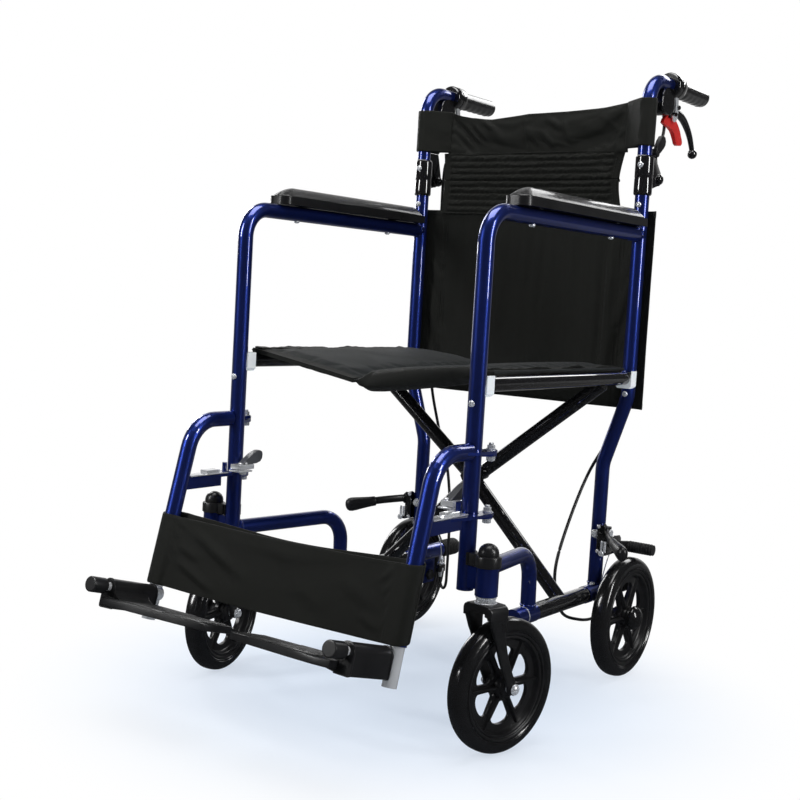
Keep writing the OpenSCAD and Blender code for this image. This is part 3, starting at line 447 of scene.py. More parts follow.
def on_caster(form):
    """Moves a form from the axle's own frame to the turned caster."""
    turn = math.radians(-caster_turn)
    for corner in form.verts:
        x, y = corner.co.x, corner.co.y + caster_trail
        corner.co = Vector((caster_x + x * math.cos(turn) - y * math.sin(turn),
            caster_y + x * math.sin(turn) + y * math.cos(turn), corner.co.z + caster_r))


def loft(form, sections):
    """Skin over closed sections of equal count, with flat ends."""
    rings = [[form.verts.new(point) for point in section] for section in sections]
    for low, high in zip(rings, rings[1:]):
        skin(form, low, high)
    form.faces.new(rings[0][::-1])
    form.faces.new(rings[-1])


round_profile = 0.6


def soft_block(form, low, high, edge=1.5, steps=3):
    """Box with rounded edges."""
    made = bmesh.ops.create_cube(form, size=1)["verts"]
    for corner in made:
        corner.co = Vector((low[k] if corner.co[k] < 0 else high[k]) for k in range(3))
    edges = dict.fromkeys(side for corner in made for side in corner.link_edges)
    bmesh.ops.bevel(form, geom=list(edges), offset=edge, segments=steps, affect="EDGES",
        profile=round_profile)


def smooth_line(points, count, steps=24):
    """Even points along a smooth curve through the given ones."""
    points = [Vector(p) for p in points]
    padded = [points[0] * 2 - points[1]] + points + [points[-1] * 2 - points[-2]]
    dense = []
    for k in range(1, len(padded) - 2):
        a, b, c, d = padded[k - 1:k + 3]
        for j in range(steps):
            t = j / steps
            dense.append(0.5 * (2 * b + (c - a) * t + (2 * a - 5 * b + 4 * c - d) * t * t
                + (3 * b - a - 3 * c + d) * t ** 3))
    dense.append(points[-1])
    reach = np.concatenate(([0], np.cumsum([(q - p).length for p, q in zip(dense, dense[1:])])))
    spread = np.linspace(0, reach[-1], count)
    return [Vector(np.interp(spread[k], reach,
        [p[c] for p in dense]) for c in range(3)) for k in range(count)]


def bar(form, outline, axis, low, high, edge=0.8, steps=2, shift=(0, 0)):
    """Outline drawn across an axis and pulled from low to high along it, with rounded end edges."""
    at = "xyz".index(axis)
    rings = []
    for level in (low, high):
        ring = []
        for u, v in outline:
            point = [u + shift[0], v + shift[1]]
            point.insert(at, level)
            ring.append(form.verts.new(point))
        rings.append(ring)
    ends = [form.faces.new(rings[0][::-1]), form.faces.new(rings[1])]
    skin(form, *rings)
    rims = dict.fromkeys(rim for end in ends for rim in end.edges)
    bmesh.ops.bevel(form, geom=list(rims), offset=edge, segments=steps, affect="EDGES", profile=round_profile)


def corner_arc(x, z, r, start, count=6):
    """Quarter circle of `count` points round (x, z), from the angle `start` in degrees."""
    return [(x + r * math.cos(math.radians(start + 90 * k / (count - 1))),
        z + r * math.sin(math.radians(start + 90 * k / (count - 1)))) for k in range(count)]


collar_low, collar_top = 246.6, 262.6
crown_low, crown_top, crown_half = 102.5, 112, 25.4
arch = ([(crown_half - 0.4, 95)] + corner_arc(crown_half - 8, crown_top - 8, 8, 0)
    + corner_arc(8 - crown_half, crown_top - 8, 8, 90) + [(0.4 - crown_half, 95), (-17.6, 95)]
    + corner_arc(-13.6, crown_low - 4, 4, 90)[::-1] + corner_arc(13.6, crown_low - 4, 4, 0)[::-1]
    + [(17.6, 95)])
leg_line = [(-36, 100), (-31.4, 77), (-25, 55), (-21, 43), (-16, 31), (-10.4, 19), (-4, 7), (0, 0)]
leg_half = (16, 12.8, 9.4, 8.2, 7.6, 7.3, 7.4, 7.6)
for side in SIDES:
    fork = bmesh.new()
    bar(fork, arch, "y", -caster_trail - 15, -caster_trail + 18, 3, 4)
    for hand in (-1, 1):
        centre = smooth_line([(0, y, z) for y, z in leg_line], 26)
        reach = np.linspace(0, 1, len(leg_half))
        sections = []
        for k, middle in enumerate(centre):
            ahead = (centre[min(k + 1, 25)] - centre[max(k - 1, 0)]).normalized()
            wide = Vector((0, -ahead.z, ahead.y))
            half = np.interp(k / 25, reach, leg_half)
            crown = 4.4 if middle.z > 76 else 3.0 + 0.8 * math.sin(math.pi * min(1, k / 25))
            ring = []
            for j in range(24):
                a = 2 * math.pi * j / 24
                c, s = math.cos(a), math.sin(a)
                flat = math.copysign(abs(c) ** 0.5, c) * half
                out = math.copysign(abs(s) ** 0.6, s) * (crown if s > 0 else 2.8)
                ring.append(middle + wide * flat + Vector((hand * (20.6 + out), 0, 0)))
            sections.append(ring)
        loft(fork, sections)
        turned(fork, [(17.4, 0), (17.4, 8), (24.4, 8), (25, 7.4), (25, 0)], (0, 0, 0), (hand, 0, 0), 36)
    on_caster(fork)
    part(side, "fork_moulding", fork, moulded, "fork", "caster_fork")
    axle = bmesh.new()
    for hand in (-1, 1):
        washer(axle, (hand * 25, 0, 0), (hand, 0, 0), 7.4, 1.2)
        turned(axle, [(13.4, 7), (17.4, 7)], (0, 0, 0), (hand, 0, 0), 24)
    hexagon(axle, (-26, 0, 0), (-1, 0, 0), 11, 4.6)
    cross_screw(axle, (26.2, 0, 0), (1, 0, 0), 6.2, 3.4)
    washer(axle, (0, -caster_trail, 112), (0, 0, 1), 14.6, 2.2)
    hexagon(axle, (0, -caster_trail, 114), (0, 0, 1), 22, 4.4)
    washer(axle, (0, -caster_trail, 118.6), (0, 0, 1), 13.6, 2.6)
    on_caster(axle)
    part(side, "caster_axle", axle, zinc, "fork")
    cap = bmesh.new()
    turned(cap, [(247.6, 15), (247.6, 16.2), (248.4, 17), (260.2, 17), (261.6, 16.4), (262.2, 14.6),
        (262.4, 13.5), (266, 13.5), (270, 12.6), (273.6, 10.4), (276.2, 7.2), (277.6, 3.6), (278, 0)],
        (caster_x, caster_y, 0), (0, 0, 1), 48)
    arc = [math.radians(-62 + 170 * k / 16) for k in range(17)]
    strap = [(13.4 * math.cos(a), 13.4 * math.sin(a)) for a in arc] + [
        (11.2 * math.cos(a), 11.2 * math.sin(a)) for a in arc[::-1]]
    bar(cap, strap, "z", collar_low, collar_top, 0.6, 2, (up_x, 0))
    soft_block(cap, (up_x + 10, -11.6, collar_low), (caster_x - 13, 3.5, collar_top), 1.6)
    part(side, "barrel_cap_dome", cap, moulded, "frame", "barrel_cap")

# Wheels and tyres.
# Six-spoke wheels moulded in black nylon, each spoke with a thin ridge along its middle, on a stepped
# rim. The tyres are solid black polyurethane, glossy and rounded.
tyre_finish = plain_finish("tyre_gloss", (30, 4.0), (0.004, 0.004, 0.0042), (0.011, 0.011, 0.012),
    (0.10, 0.12), (420, 3.0, 0.06, 0.0006), Specular_IOR_Level=0.8)


window_in, window_out = 22, 55


def window_edge(r):
    """Half the angle that a spoke fills at radius r: a full sixth at hub and rim, narrow between."""
    full = math.pi / 6
    corner = max(0.0, 1 - (r - window_in) / 6.5, 1 - (window_out - r) / 9)
    slim = math.asin(min(0.5, (5.6 + 0.02 * (r - window_in)) / r))
    return slim + (full - slim) * (1 - math.sqrt(max(0, 1 - min(1, corner) ** 2.2)))


def spokes(form):
    radii = [12, 17] + [window_in + (window_out - window_in) * (0.5 - 0.5 * math.cos(math.pi * k / 28))
        for k in range(29)] + [56, 59, 62, 66]
    across_spoke = (-1, -0.9, -0.6, -0.34, -0.2, -0.16, -0.08, 0.08, 0.16, 0.2, 0.34, 0.6, 0.9, 1)
    for spoke in range(6):
        turn = math.radians(60 * spoke)
        layers = []
        for face in (1, -1):
            rows = []
            for r in radii:
                edge = window_edge(r)
                slim = math.asin(min(0.5, 6.0 / r))
                row = []
                for t in across_spoke:
                    angle = edge * t if abs(t) > 0.35 else slim * t * 2.4
                    ridge = (6.6 - 0.05 * r) * max(0, 1 - (abs(t) / 0.17) ** 4) if abs(t) < 0.17 else 0
                    thick = 3.0 + ridge - (0.7 if abs(t) == 1 and r < window_out else 0)
                    row.append(form.verts.new((face * thick, r * math.cos(turn + angle),
                        r * math.sin(turn + angle))))
                rows.append(row)
            layers.append(rows)
        front, back = layers
        last = len(across_spoke) - 1
        for i in range(len(radii) - 1):
            for j in range(last):
                form.faces.new((front[i][j], front[i][j + 1], front[i + 1][j + 1], front[i + 1][j]))
                form.faces.new((back[i][j], back[i + 1][j], back[i + 1][j + 1], back[i][j + 1]))
            if window_in - 1 < radii[i] and radii[i + 1] < window_out + 0.1:
                for j in (0, last):
                    form.faces.new((front[i][j], front[i + 1][j], back[i + 1][j], back[i][j]))
    bmesh.ops.remove_doubles(form, verts=form.verts, dist=0.02)


def wheel_form():
    form = bmesh.new()
    spokes(form)
    rim = [(2.4, 63.4), (3.4, 65), (6.6, 66.4), (9.4, 67), (10.6, 67.9), (10.9, 69.2), (10.5, 70.6),
        (9.9, 71.4), (10.4, 72.2), (12.2, 72.7), (12.9, 73.8), (13, 75.4), (11.6, 77)]
    ring_of(form, [(-x, r) for x, r in rim[::-1]] + rim, (0, 0, 0), (1, 0, 0), 108)
    ring_of(form, [(-15.4, 6.5), (-15.4, 12.4), (-14.6, 13.2), (-9.6, 14), (-8.6, 16.2), (-6.4, 17.2),
        (6.4, 17.2), (8.6, 16.2), (9.6, 14), (14.6, 13.2), (15.4, 12.4), (15.4, 6.5)], (0, 0, 0), (1, 0, 0),
        56)
    return form


def tyre_form():
    form = bmesh.new()
    outline = [(-11.2, 76.2), (-12.8, 77.0), (-13.5, 78.4), (-12.9, 79.4)]
    for k in range(17):
        a = math.pi * k / 16
        outline.append((-14 * math.copysign(abs(math.cos(a)) ** 0.72, math.cos(a)),
            80.6 + 14.4 * math.sin(a) ** 0.8))
    outline += [(12.9, 79.4), (13.5, 78.4), (12.8, 77.0), (11.2, 76.2)]
    ring_of(form, outline, (0, 0, 0), (1, 0, 0), 108)
    return form


rear_axle = (209, 471, 95)
for side in SIDES:
    for place_name in ("front", "rear"):
        for kind, build, finish, slot in (("wheel", wheel_form, moulded, "black_plastic"),
                ("tyre", tyre_form, tyre_finish, "tyre")):
            form = build()
            if place_name == "front":
                bmesh.ops.scale(form, verts=form.verts, vec=(1, caster_r / rear_axle[2],
                    caster_r / rear_axle[2]))
                on_caster(form)
            else:
                bmesh.ops.translate(form, verts=form.verts, vec=rear_axle)
            made = piece(f"{side}_{place_name}_{kind}_moulding", form, finish, f"{side}_{place_name}_wheel",
                side, 40)
            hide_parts(f"{side}_{place_name}_{kind}")
    dome = bmesh.new()
    turned(dome, [(15, 0), (15, 18.2), (16, 19), (19, 19), (21, 18.3), (25, 15.6), (28.4, 10.8), (30.2, 5.4),
        (30.8, 0)], rear_axle, (1, 0, 0), 48)
    part(side, "hub_dome", dome, tyre_finish, "rear_wheel")
    spacer = bmesh.new()
    turned(spacer, [(180, 9.4), (181, 10), (192.4, 10), (193.2, 9.4)], (0, rear_axle[1], rear_axle[2]),
        (1, 0, 0), 32)
    hexagon(spacer, (170, rear_axle[1], rear_axle[2]), (-1, 0, 0), 17, 6)
    part(side, "axle_spacer", spacer, moulded, "frame")

# Cross brace and seat rails.
# Two arms of round steel tube with a bolt where they cross, welded to the seat rails above and to the
# pivot tubes below, all stove-enamelled black. The rails drop into white nylon saddles.
enamel = plain_finish("black_enamel", (18, 3.0), (0.003, 0.003, 0.0035), (0.009, 0.009, 0.010), (0.10, 0.10),
    (60, 1.0, 0.004, 0.0008), Coat_Weight=1.0, Coat_Roughness=0.03, Coat_IOR=1.7, Specular_IOR_Level=0.4)
white_nylon = plain_finish("white_nylon", (40, 3.0), (0.78, 0.79, 0.80), (0.88, 0.88, 0.87), (0.30, 0.16),
    (700, 2.0, 0.06, 0.0005), Specular_IOR_Level=0.4, Subsurface_Weight=0.06)

coat_nodes(enamel, "brace_a", "brace_b")
seat_z = 477
brace_y, cross_z = 335, 307
cross_bolt = bmesh.new()
for hand in (-1, 1):
    washer(cross_bolt, (0, brace_y + hand * 24.4, cross_z), (0, hand, 0), 9.5, 1.4)
    hexagon(cross_bolt, (0, brace_y + hand * 25.8, cross_z), (0, hand, 0), 15, 6.4)
piece("brace_cross_bolt", cross_bolt, moulded, "brace_a")

saddle_half, saddle_low, saddle_high, saddle_r = 13.5, -16, 11, 11.7
cradle = [(saddle_half, saddle_high), (saddle_half, saddle_low + 4), (saddle_half - 4, saddle_low),
    (4 - saddle_half, saddle_low), (-saddle_half, saddle_low + 4), (-saddle_half, saddle_high),
    (-saddle_r - 0.1, saddle_high)]
cradle += [(-saddle_r * math.cos(math.pi * k / 16),
    -saddle_r * math.sin(math.pi * k / 16)) for k in range(17)]
cradle += [(saddle_r + 0.1, saddle_high)]
for side in SIDES:
    saddles = bmesh.new()
    for low_y, high_y in ((2, 20), (415, 433)):
        bar(saddles, cradle, "y", low_y, high_y, 1.0, 3, (up_x, seat_z))
    part(side, "saddles", saddles, white_nylon, "frame", "rail_saddles")
    socket_rings = bmesh.new()
    ring_of(socket_rings, [(204.4, 11.2), (204.4, 13.1), (205.2, 13.6), (206.8, 13.6), (207.4, 12.8),
        (207.4, 11.2)], (pivot_x, 0, pivot_z), (0, 1, 0), 40)
    part(side, "socket_ring", socket_rings, zinc, "frame")

# Wheel locks and hand-brake arms.
# Pressed steel channel in black, bolted through the rear upright with a plated bolt. The lever pushes an
# over-centre link that swings the ribbed rubber stopper on to the tyre. The cable ends in a plated
# adjuster below, and its bare wire runs up to the arm.
rubber = plain_finish("ribbed_rubber", (50, 3.0), (0.010, 0.010, 0.010), (0.026, 0.026, 0.027), (0.42, 0.2),
    (1300, 3.0, 0.16, 0.0005), Specular_IOR_Level=0.35)


def ribbed(first, last, low_r, high_r, pitch, land=0.55):
    """Profile of ribs along an axis: (distance, radius) pairs."""
    profile = []
    count = round((last - first) / pitch)
    step = (last - first) / count
    for k in range(count):
        along = first + k * step
        profile += [(along, low_r), (along + step * 0.12, high_r), (along + step * land, high_r),
            (along + step * (land + 0.12), low_r)]
    return profile + [(last, low_r)]


def swept(form, points, radii, sides=14, flat=1.0):
    """Round bar along points, flattened along the section's first direction where flat is below 1."""
    sections = []
    points = [Vector(p) for p in points]
    for k, middle in enumerate(points):
        ahead = (points[min(k + 1, len(points) - 1)] - points[max(k - 1, 0)]).normalized()
        first, second = across(ahead)
        sections.append([middle + radii[k] * (first * math.cos(2 * math.pi * j / sides) * flat
            + second * math.sin(2 * math.pi * j / sides)) for j in range(sides)])
    loft(form, sections)


lock_y, lock_z = 424, 233
arm_y, arm_pin_z = 446, 214
for side in SIDES:
    bracket = bmesh.new()
    ear = [(417.4, 203), (420, 199), (455, 198.4), (457, 201), (457, 222), (452, 228), (438, 233), (434, 242),
        (428, 246), (420, 245.4), (417.4, 240)]
    bar(bracket, ear, "x", 184, 187.6, 0.7)
    guard = [(431, 203), (434, 200), (455, 198.4), (457, 201), (457, 222), (452, 227), (436, 228), (431, 224)]
    bar(bracket, guard, "x", 199, 202, 0.7)
    soft_block(bracket, (186, 408.5, 199), (200, 434, 203.4), 1)
    soft_block(bracket, (180, 415.6, 200), (191.6, 419, 245), 1.2)
    soft_block(bracket, (180, 446, 205), (188, 450, 239), 1.2)
    soft_block(bracket, (152.5, 478.5, 100), (161.5, 497, 113), 2)
    part(side, "lock_plates", bracket, enamel, "frame", "lock_bracket")
    bolts = bmesh.new()
    hexagon(bolts, (173, rear_y - 12, 228), (0.1, -1, 0), 8.6, 4)
    washer(bolts, (173, rear_y - 10.8, 228), (0.1, -1, 0), 7, 1.2)
    for z in (203, 242):
        turned(bolts, [(0, 2.8), (1.4, 2.8), (2.4, 1.8), (2.6, 0)], (182.4, 415.8, z), (0, -1, 0), 20)
    for x in (191, 196.6):
        turned(bolts, [(203, 1.9), (220, 1.9), (220.6, 1.2), (220.6, 0)], (x, 412, 0), (0, 0, 1), 16)
    hexagon(bolts, (193.8, 408.4, 202), (0, -1, 0), 8, 4)
    for y, z in ((lock_y, lock_z), (arm_y, arm_pin_z)):
        turned(bolts, [(187, 3.4), (198.4, 3.4), (198.4, 5.4), (199.4, 6), (201, 5.2), (202, 3), (202.2, 0)],
            (0, y, z), (1, 0, 0), 24)
    turned(bolts, [(98, 3.4), (101, 3.4), (101, 5), (107, 5), (107, 3.2), (109, 3.6), (110, 3.2), (111, 3.6),
        (112, 3.2), (113, 3.6), (114, 3.2), (115, 3.6), (116, 3.2), (117, 3.6), (118, 3.2), (119, 4.6),
        (125, 4.6), (127, 3.4), (128, 2), (128, 0)], (157, 488, 0), (0, 0, 1), 24)
    hexagon(bolts, (157, 488, 113.6), (0, 0, 1), 11, 4)
    swept(bolts, smooth_line([(157, 488, 127), (160, 487, 150), (170, 481, 182), (183, 470, 206)], 14),
        [0.9] * 14, 8)
    part(side, "lock_bolts", bolts, zinc, "frame")

    lever = bmesh.new()
    turned(lever, [(192.8, 0), (192.8, 9), (193.4, 9.6), (196.4, 9.6), (197, 9), (197, 0)],
        (0, lock_y, lock_z), (1, 0, 0), 32)
    shank = smooth_line([(195, lock_y, lock_z), (199, 412, 233), (218, 385, 230), (236, 368, 226)], 16)
    swept(lever, shank, [6.4] * 16, 16, 0.46)
    grip_start = Vector((226, 377, 228))
    toward = (Vector((262, 343, 219)) - grip_start).normalized()
    drop = [(0, 5), (0.4, 7.6), (1.4, 8.2), (12, 8.8), (26, 10.2), (36, 11.4), (42, 11.8), (47, 11),
        (50.6, 8.4), (52.4, 4.4), (53, 0.4)]
    swept(lever, [grip_start + toward * along for along, r in drop], [r for along, r in drop], 32, 0.72)
    part(side, "lock_handle", lever, moulded, "lock_lever", "lock_lever")

    arm = bmesh.new()
    turned(arm, [(192.8, 0), (192.8, 8), (193.4, 8.6), (196.8, 8.6), (197.4, 8), (197.4, 0)],
        (0, arm_y, arm_pin_z), (1, 0, 0), 32)
    link = [(446, 221.6), (470, 214.6), (498, 211), (506, 206.4), (507.4, 200), (502, 195.4), (494, 197),
        (468, 204), (446, 206.4), (440.6, 210), (440.6, 218)]
    bar(arm, link, "x", 193.2, 196.8, 0.7)
    part(side, "stopper_arm", arm, enamel, "brake_arm", "brake_arm")
    stopper = bmesh.new()
    turned(stopper, [(195.5, 0), (195.5, 7.6)] + ribbed(196.4, 237.4, 8.2, 9.2, 4.6) + [(238.6, 8.6),
        (239.5, 6.4), (239.5, 0)], (0, 500, 202), (1, 0, 0), 32)
    part(side, "stopper_rubber", stopper, rubber, "brake_arm")

    sleeve = bmesh.new()
    turned(sleeve, [(506, 11.4), (506, 13.8)] + ribbed(507, 546, 13.4, 15, 4.8) + [(547.4, 15), (552, 14.8),
        (554.4, 13.6), (555.8, 10.6), (556, 0)], (pivot_x, 0, pivot_z), (0, 1, 0), 40)
    part(side, "tipping_rubber", sleeve, rubber, "frame", "tipping_sleeve")

# Footrests.
# The swing-away hanger holds a chromed tube, kept at its height by a spring button. The footplate turns
# on a chromed rod with a black end cap, and is moulded with a deep housing at its outer end and a
# ribbed blade. The latch is a plated steel box on the front upright with a grey thumb paddle.
grey_nylon = plain_finish("grey_nylon", (60, 3.0), (0.055, 0.057, 0.062), (0.105, 0.108, 0.115), (0.24, 0.14),
    (900, 2.0, 0.08, 0.0004), Specular_IOR_Level=0.45)

hanger_lean = math.radians(15)
hanger_top_z, hanger_corner_y, hanger_x = 391, -84, 208


def hanger_y(z):
    return hanger_corner_y - (hanger_top_z - z) * math.tan(hanger_lean)


rod_origin = Vector((hanger_x - 6.5, hanger_y(157) - 7, 155))


def on_rod(form):
    """Moves a form from the hinge rod's own frame to the leaning rod."""
    c, s = math.cos(-hanger_lean), math.sin(-hanger_lean)
    for corner in form.verts:
        x, y, z = corner.co
        corner.co = rod_origin + Vector((x, y * c - z * s, y * s + z * c))


rod_l, plate_drop, plate_t, plate_near, plate_far = 113.6, 13.5, 9.5, -104.6, -21.6


def grown(outline, by):
    """Closed outline moved outwards by a distance."""
    made = []
    for k, (x, y) in enumerate(outline):
        before, after = outline[k - 1], outline[(k + 1) % len(outline)]
        side = Vector((after[1] - before[1], before[0] - after[0])).normalized()
        made.append((x + side.x * by, y + side.y * by))
    return made


sleeve_y, sleeve_end = plate_near + 20, -4.5
plate_inner = 20 - rod_origin.x
for side in SIDES:
    coat_nodes(chrome, f"{side}_slide_tube")
    rod = bmesh.new()
    turned(rod, [(0, 8.6), (0.6, 9.4), (20.4, 9.4), (21, 8.6), (21.2, 6), (rod_l, 6), (rod_l, 0)],
        (0, 9.8, 0), (0, -1, 0), 32)
    on_rod(rod)
    part(side, "rod_bar", rod, chrome, "rod", "hinge_rod")
    cap = bmesh.new()
    turned(cap, [(0, 6.2), (0, 9.8), (0.7, 10.4), (22.8, 10.4), (23.6, 10.1), (24, 9.4), (24, 8.4), (24, 0)],
        (0, -rod_l + 20, 0), (0, -1, 0), 40)
    on_rod(cap)
    part(side, "rod_cap", cap, moulded, "rod")

    plate = bmesh.new()
    top = -plate_drop
    blade = [(-8, plate_near + 4), (-30, plate_near), (-70, plate_near + 5),
        (plate_inner + 44, plate_near + 14), (plate_inner + 10, plate_near + 19),
        (plate_inner + 3, plate_near + 22), (plate_inner, plate_near + 28), (plate_inner, plate_near + 70),
        (plate_inner + 3, plate_near + 76), (plate_inner + 10, plate_near + 79),
        (plate_inner + 50, plate_near + 82), (-60, plate_far - 1), (-8, plate_far)]
    bar(plate, blade, "z", top - plate_t, top, 2.2, 3)
    housing = [(11 * math.cos(math.pi * k / 16), 11 * math.sin(math.pi * k / 16)) for k in range(17)]
    housing += [(-11.5, -3), (-12, -27.6), (8, -28), (10.4, -27.2), (11, -25)]
    bar(plate, housing, "y", sleeve_y, sleeve_end, 1.2, 3)
    fillet = [(-9, -2), (-11.5, -3), (-12.8, -6.4), (-15.4, -9.6), (-19.6, -12), (-25, -13.2), (-31, -13.6),
        (-31, -22.4), (-24, -23.4), (-17, -25.8), (-9, -27.6)]
    bar(plate, fillet, "y", sleeve_y, plate_far, 1.2, 3)
    for y in (sleeve_y, sleeve_end - 3):
        bar(plate, grown(housing, 0.8), "y", y, y + 3, 0.8, 3)
    for k in range(13):
        y = plate_near + 16 + k * 5.2
        inner = plate_inner + 12 if plate_near + 24 < y < plate_near + 74 else plate_inner + 70
        soft_block(plate, (inner, y - 1.3, top - 1), (-36, y + 1.3, top + 1), 0.7, 2)
    on_rod(plate)
    part(side, "footplate_moulding", plate, moulded, "footplate", "footplate")

    button = bmesh.new()
    turned(button, [(0, 3.6), (1.0, 3.6), (1.4, 3.2), (1.4, 0)], (hanger_x, hanger_y(196) - 9.0, 196),
        (0, -math.cos(hanger_lean), math.sin(hanger_lean)), 24)
    part(side, "height_button", button, chrome, "footrest")

    tray = bmesh.new()
    soft_block(tray, (hanger_x - 9, -96, 311.8), (hanger_x + 9, -20, 313.8), 0.7, 2)
    soft_block(tray, (hanger_x - 7, -62, 313.6), (hanger_x + 7, -36, 318.4), 1.0, 3)
    part(side, "arm_plate", tray, chrome, "footrest")
    box = bmesh.new()
    soft_block(box, (173, -25, 315.4), (194.4, 2, 318), 0.7, 2)
    soft_block(box, (175, -22, 319), (194.4, 8, 326), 1.0, 3)
    for y in (-17, -6):
        turned(box, [(326, 3.4), (328, 3.4), (328.8, 2.6), (328.8, 0)], (180, y, 0), (0, 0, 1), 20)
    turned(box, [(310, 0), (310, 4.4), (311, 5), (316, 5), (317.5, 4)], (188, -2, 0), (0, 0, 1), 24)
    part(side, "latch_box", box, chrome, "latch", "hanger_latch")
    paddle = bmesh.new()
    drop = [(-4, 10), (6, 15), (20, 24), (26, 27), (32, 29), (37, 29), (41, 27), (42.4, 23), (41.6, 17),
        (38, 12.4), (30, 10), (16, 9.6)]
    bar(paddle, drop, "x", 177.6, 187.4, 1.8, 4, (-14, 316))
    part(side, "latch_paddle", paddle, grey_nylon, "latch")

# Back hinges, push grips and hand brakes.
# Glossy black hinge shells on pressed steel leaves with a domed pivot bolt, and a thumb paddle that
# frees the post. The grips are smooth rubber with finger waves below. A black brake clamp with plated
# cheeks sits in front of each grip and carries the lever with its ball and the red tab that holds it.
red_nylon = plain_finish("red_nylon", (50, 3.0), (0.42, 0.012, 0.012), (0.60, 0.030, 0.024), (0.22, 0.14),
    (800, 2.0, 0.06, 0.0004), Specular_IOR_Level=0.5, Subsurface_Weight=0.05)
grip_rubber = plain_finish("grip_rubber", (40, 3.0), (0.004, 0.004, 0.0045), (0.012, 0.012, 0.013),
    (0.26, 0.16), (1400, 2.0, 0.10, 0.0004), Specular_IOR_Level=0.5, Coat_Weight=1.0, Coat_Roughness=0.12)

hinge_y, hinge_z, post_y, handle_z = 475, 785, 433, 934
grip_start_y = 533
lever_pivot, tab_pivot, lever_ball = (522, 902), (512, 890), (up_x, 609, 841)
for side in SIDES:
    shell = bmesh.new()
    turned(shell, [(756.6, 11.3), (756.8, 12.6), (758.4, 13.8), (760, 14.1), (781, 14.1), (782, 13.7),
        (783, 13.7), (784, 14.1), (813.4, 14.1), (815, 13.6), (816, 12.2), (816, 0)], (up_x, rear_y, 0),
        (0, 0, 1), 48)
    ear = [(rear_y, 763), (hinge_y - 6, 774), (hinge_y + 3, 775.4), (hinge_y + 8, 779), (hinge_y + 10, 785),
        (hinge_y + 8.4, 791), (hinge_y + 3, 796), (rear_y + 24, 815.4), (rear_y, 815.4)]
    bar(shell, ear, "x", up_x + 3, up_x + 7.4, 0.9, 3)
    for out, start in ((1, up_x + 7.2), (-1, up_x - 4.6)):
        turned(shell, [(0, 7.6), (1.4, 8), (3, 7.6), (5, 5.6), (6.2, 2.6), (6.4, 0)],
            (start, hinge_y, hinge_z), (out, 0, 0), 32)
    part(side, "hinge_shell", shell, enamel, "frame", "back_hinge")
    screw = bmesh.new()
    cross_screw(screw, (up_x, rear_y - 14, 802), (0, -1, 0), 4.6, 3)
    part(side, "hinge_screw", screw, zinc, "frame")

    fittings = bmesh.new()
    leaf = [(post_y + 6, 817), (post_y + 20, 817), (hinge_y - 10, 789), (hinge_y - 9, 781),
        (hinge_y - 4, 776.6), (hinge_y + 4, 776.6), (hinge_y + 8.6, 781), (hinge_y + 8, 790),
        (hinge_y - 4, 830.4), (post_y + 6, 831)]
    bar(fittings, leaf, "x", up_x - 4, up_x + 2, 0.9, 3)
    ring_of(fittings, [(500, 11.2), (500, 17.6), (501, 19), (503, 20), (513, 20), (514, 19.2), (516, 19.2),
        (517, 20), (527, 20), (529, 19), (530, 17.6), (530, 11.2)], (up_x, 0, handle_z), (0, 1, 0), 48)
    hood = [(472, 924), (466, 915), (463, 906), (463, 898), (466, 891), (472, 886), (480, 884.4), (492, 886),
        (500, 888), (506, 891), (508, 898), (508, 922), (500, 928), (484, 928)]
    bar(fittings, hood, "x", up_x - 9.4, up_x + 9.4, 3.4, 5)
    soft_block(fittings, (up_x - 6.8, 500, 883), (up_x + 6.8, 503, 922), 1.2, 3)
    for y, z in (lever_pivot, tab_pivot):
        turned(fittings, [(-12.4, 0), (-12.4, 2.6), (-11.6, 3.4), (11.6, 3.4), (12.4, 2.6), (12.4, 0)],
            (up_x, y, z), (1, 0, 0), 20)
    part(side, "brake_clamp", fittings, enamel, "back", "back_fittings")
    cheeks = bmesh.new()
    cheek = [(506, 887), (509, 881), (514, 878.4), (519, 880.4), (523, 887), (525, 896), (524, 906),
        (520, 914), (520, 923), (511, 923), (511, 912), (514.6, 904), (514.6, 897), (512, 892)]
    for low_x, high_x in ((up_x - 9, up_x - 5.6), (up_x + 5.6, up_x + 9)):
        bar(cheeks, cheek, "x", low_x, high_x, 1.6, 3)
    part(side, "clamp_cheeks", cheeks, chrome, "back")

    grip = bmesh.new()
    sections = []
    stations = [(0, 12.4), (0.3, 13.6), (1.4, 14.3)] + [(3 + 91.4 * k / 90, 14.4) for k in range(91)] + [
        (95.6, 14.2), (96.6, 13.6), (97, 12.6), (97, 12.4), (97, 9)]
    for along, radius in stations:
        inside = min(1, max(0, (along - 8) / 6)) * min(1, max(0, (90 - along) / 6))
        wave_depth = inside * 0.8 * (0.5 + 0.5 * math.cos(2 * math.pi * (along - 8) / 17))
        ring = []
        for k in range(44):
            a = 2 * math.pi * k / 44
            below = max(0, -math.sin(a) - 0.15) ** 1.2
            r = radius + below * (1.4 * inside - wave_depth)
            ring.append((up_x + r * math.cos(a), grip_start_y + along, handle_z + r * math.sin(a)))
        sections.append(ring)
    loft(grip, sections)
    part(side, "push_grip", grip, grip_rubber, "back", sharp=50)

    release = bmesh.new()
    arm_x = up_x + 5.5
    thumb = [(453, 818), (460, 816.6), (464, 820), (469, 828), (480, 832), (486, 838), (487.4, 845),
        (484, 851), (478, 853), (471, 851), (466, 844), (459, 832), (454, 825)]
    bar(release, thumb, "x", arm_x - 3.6, arm_x + 3.8, 2.2, 4)
    turned(release, [(-4.6, 0), (-4.6, 4), (-3.6, 5), (4.4, 5), (5.6, 4), (5.6, 0)], (arm_x, 458, 822),
        (1, 0, 0), 24)
    part(side, "release_paddle", release, moulded, "release", "back_release")

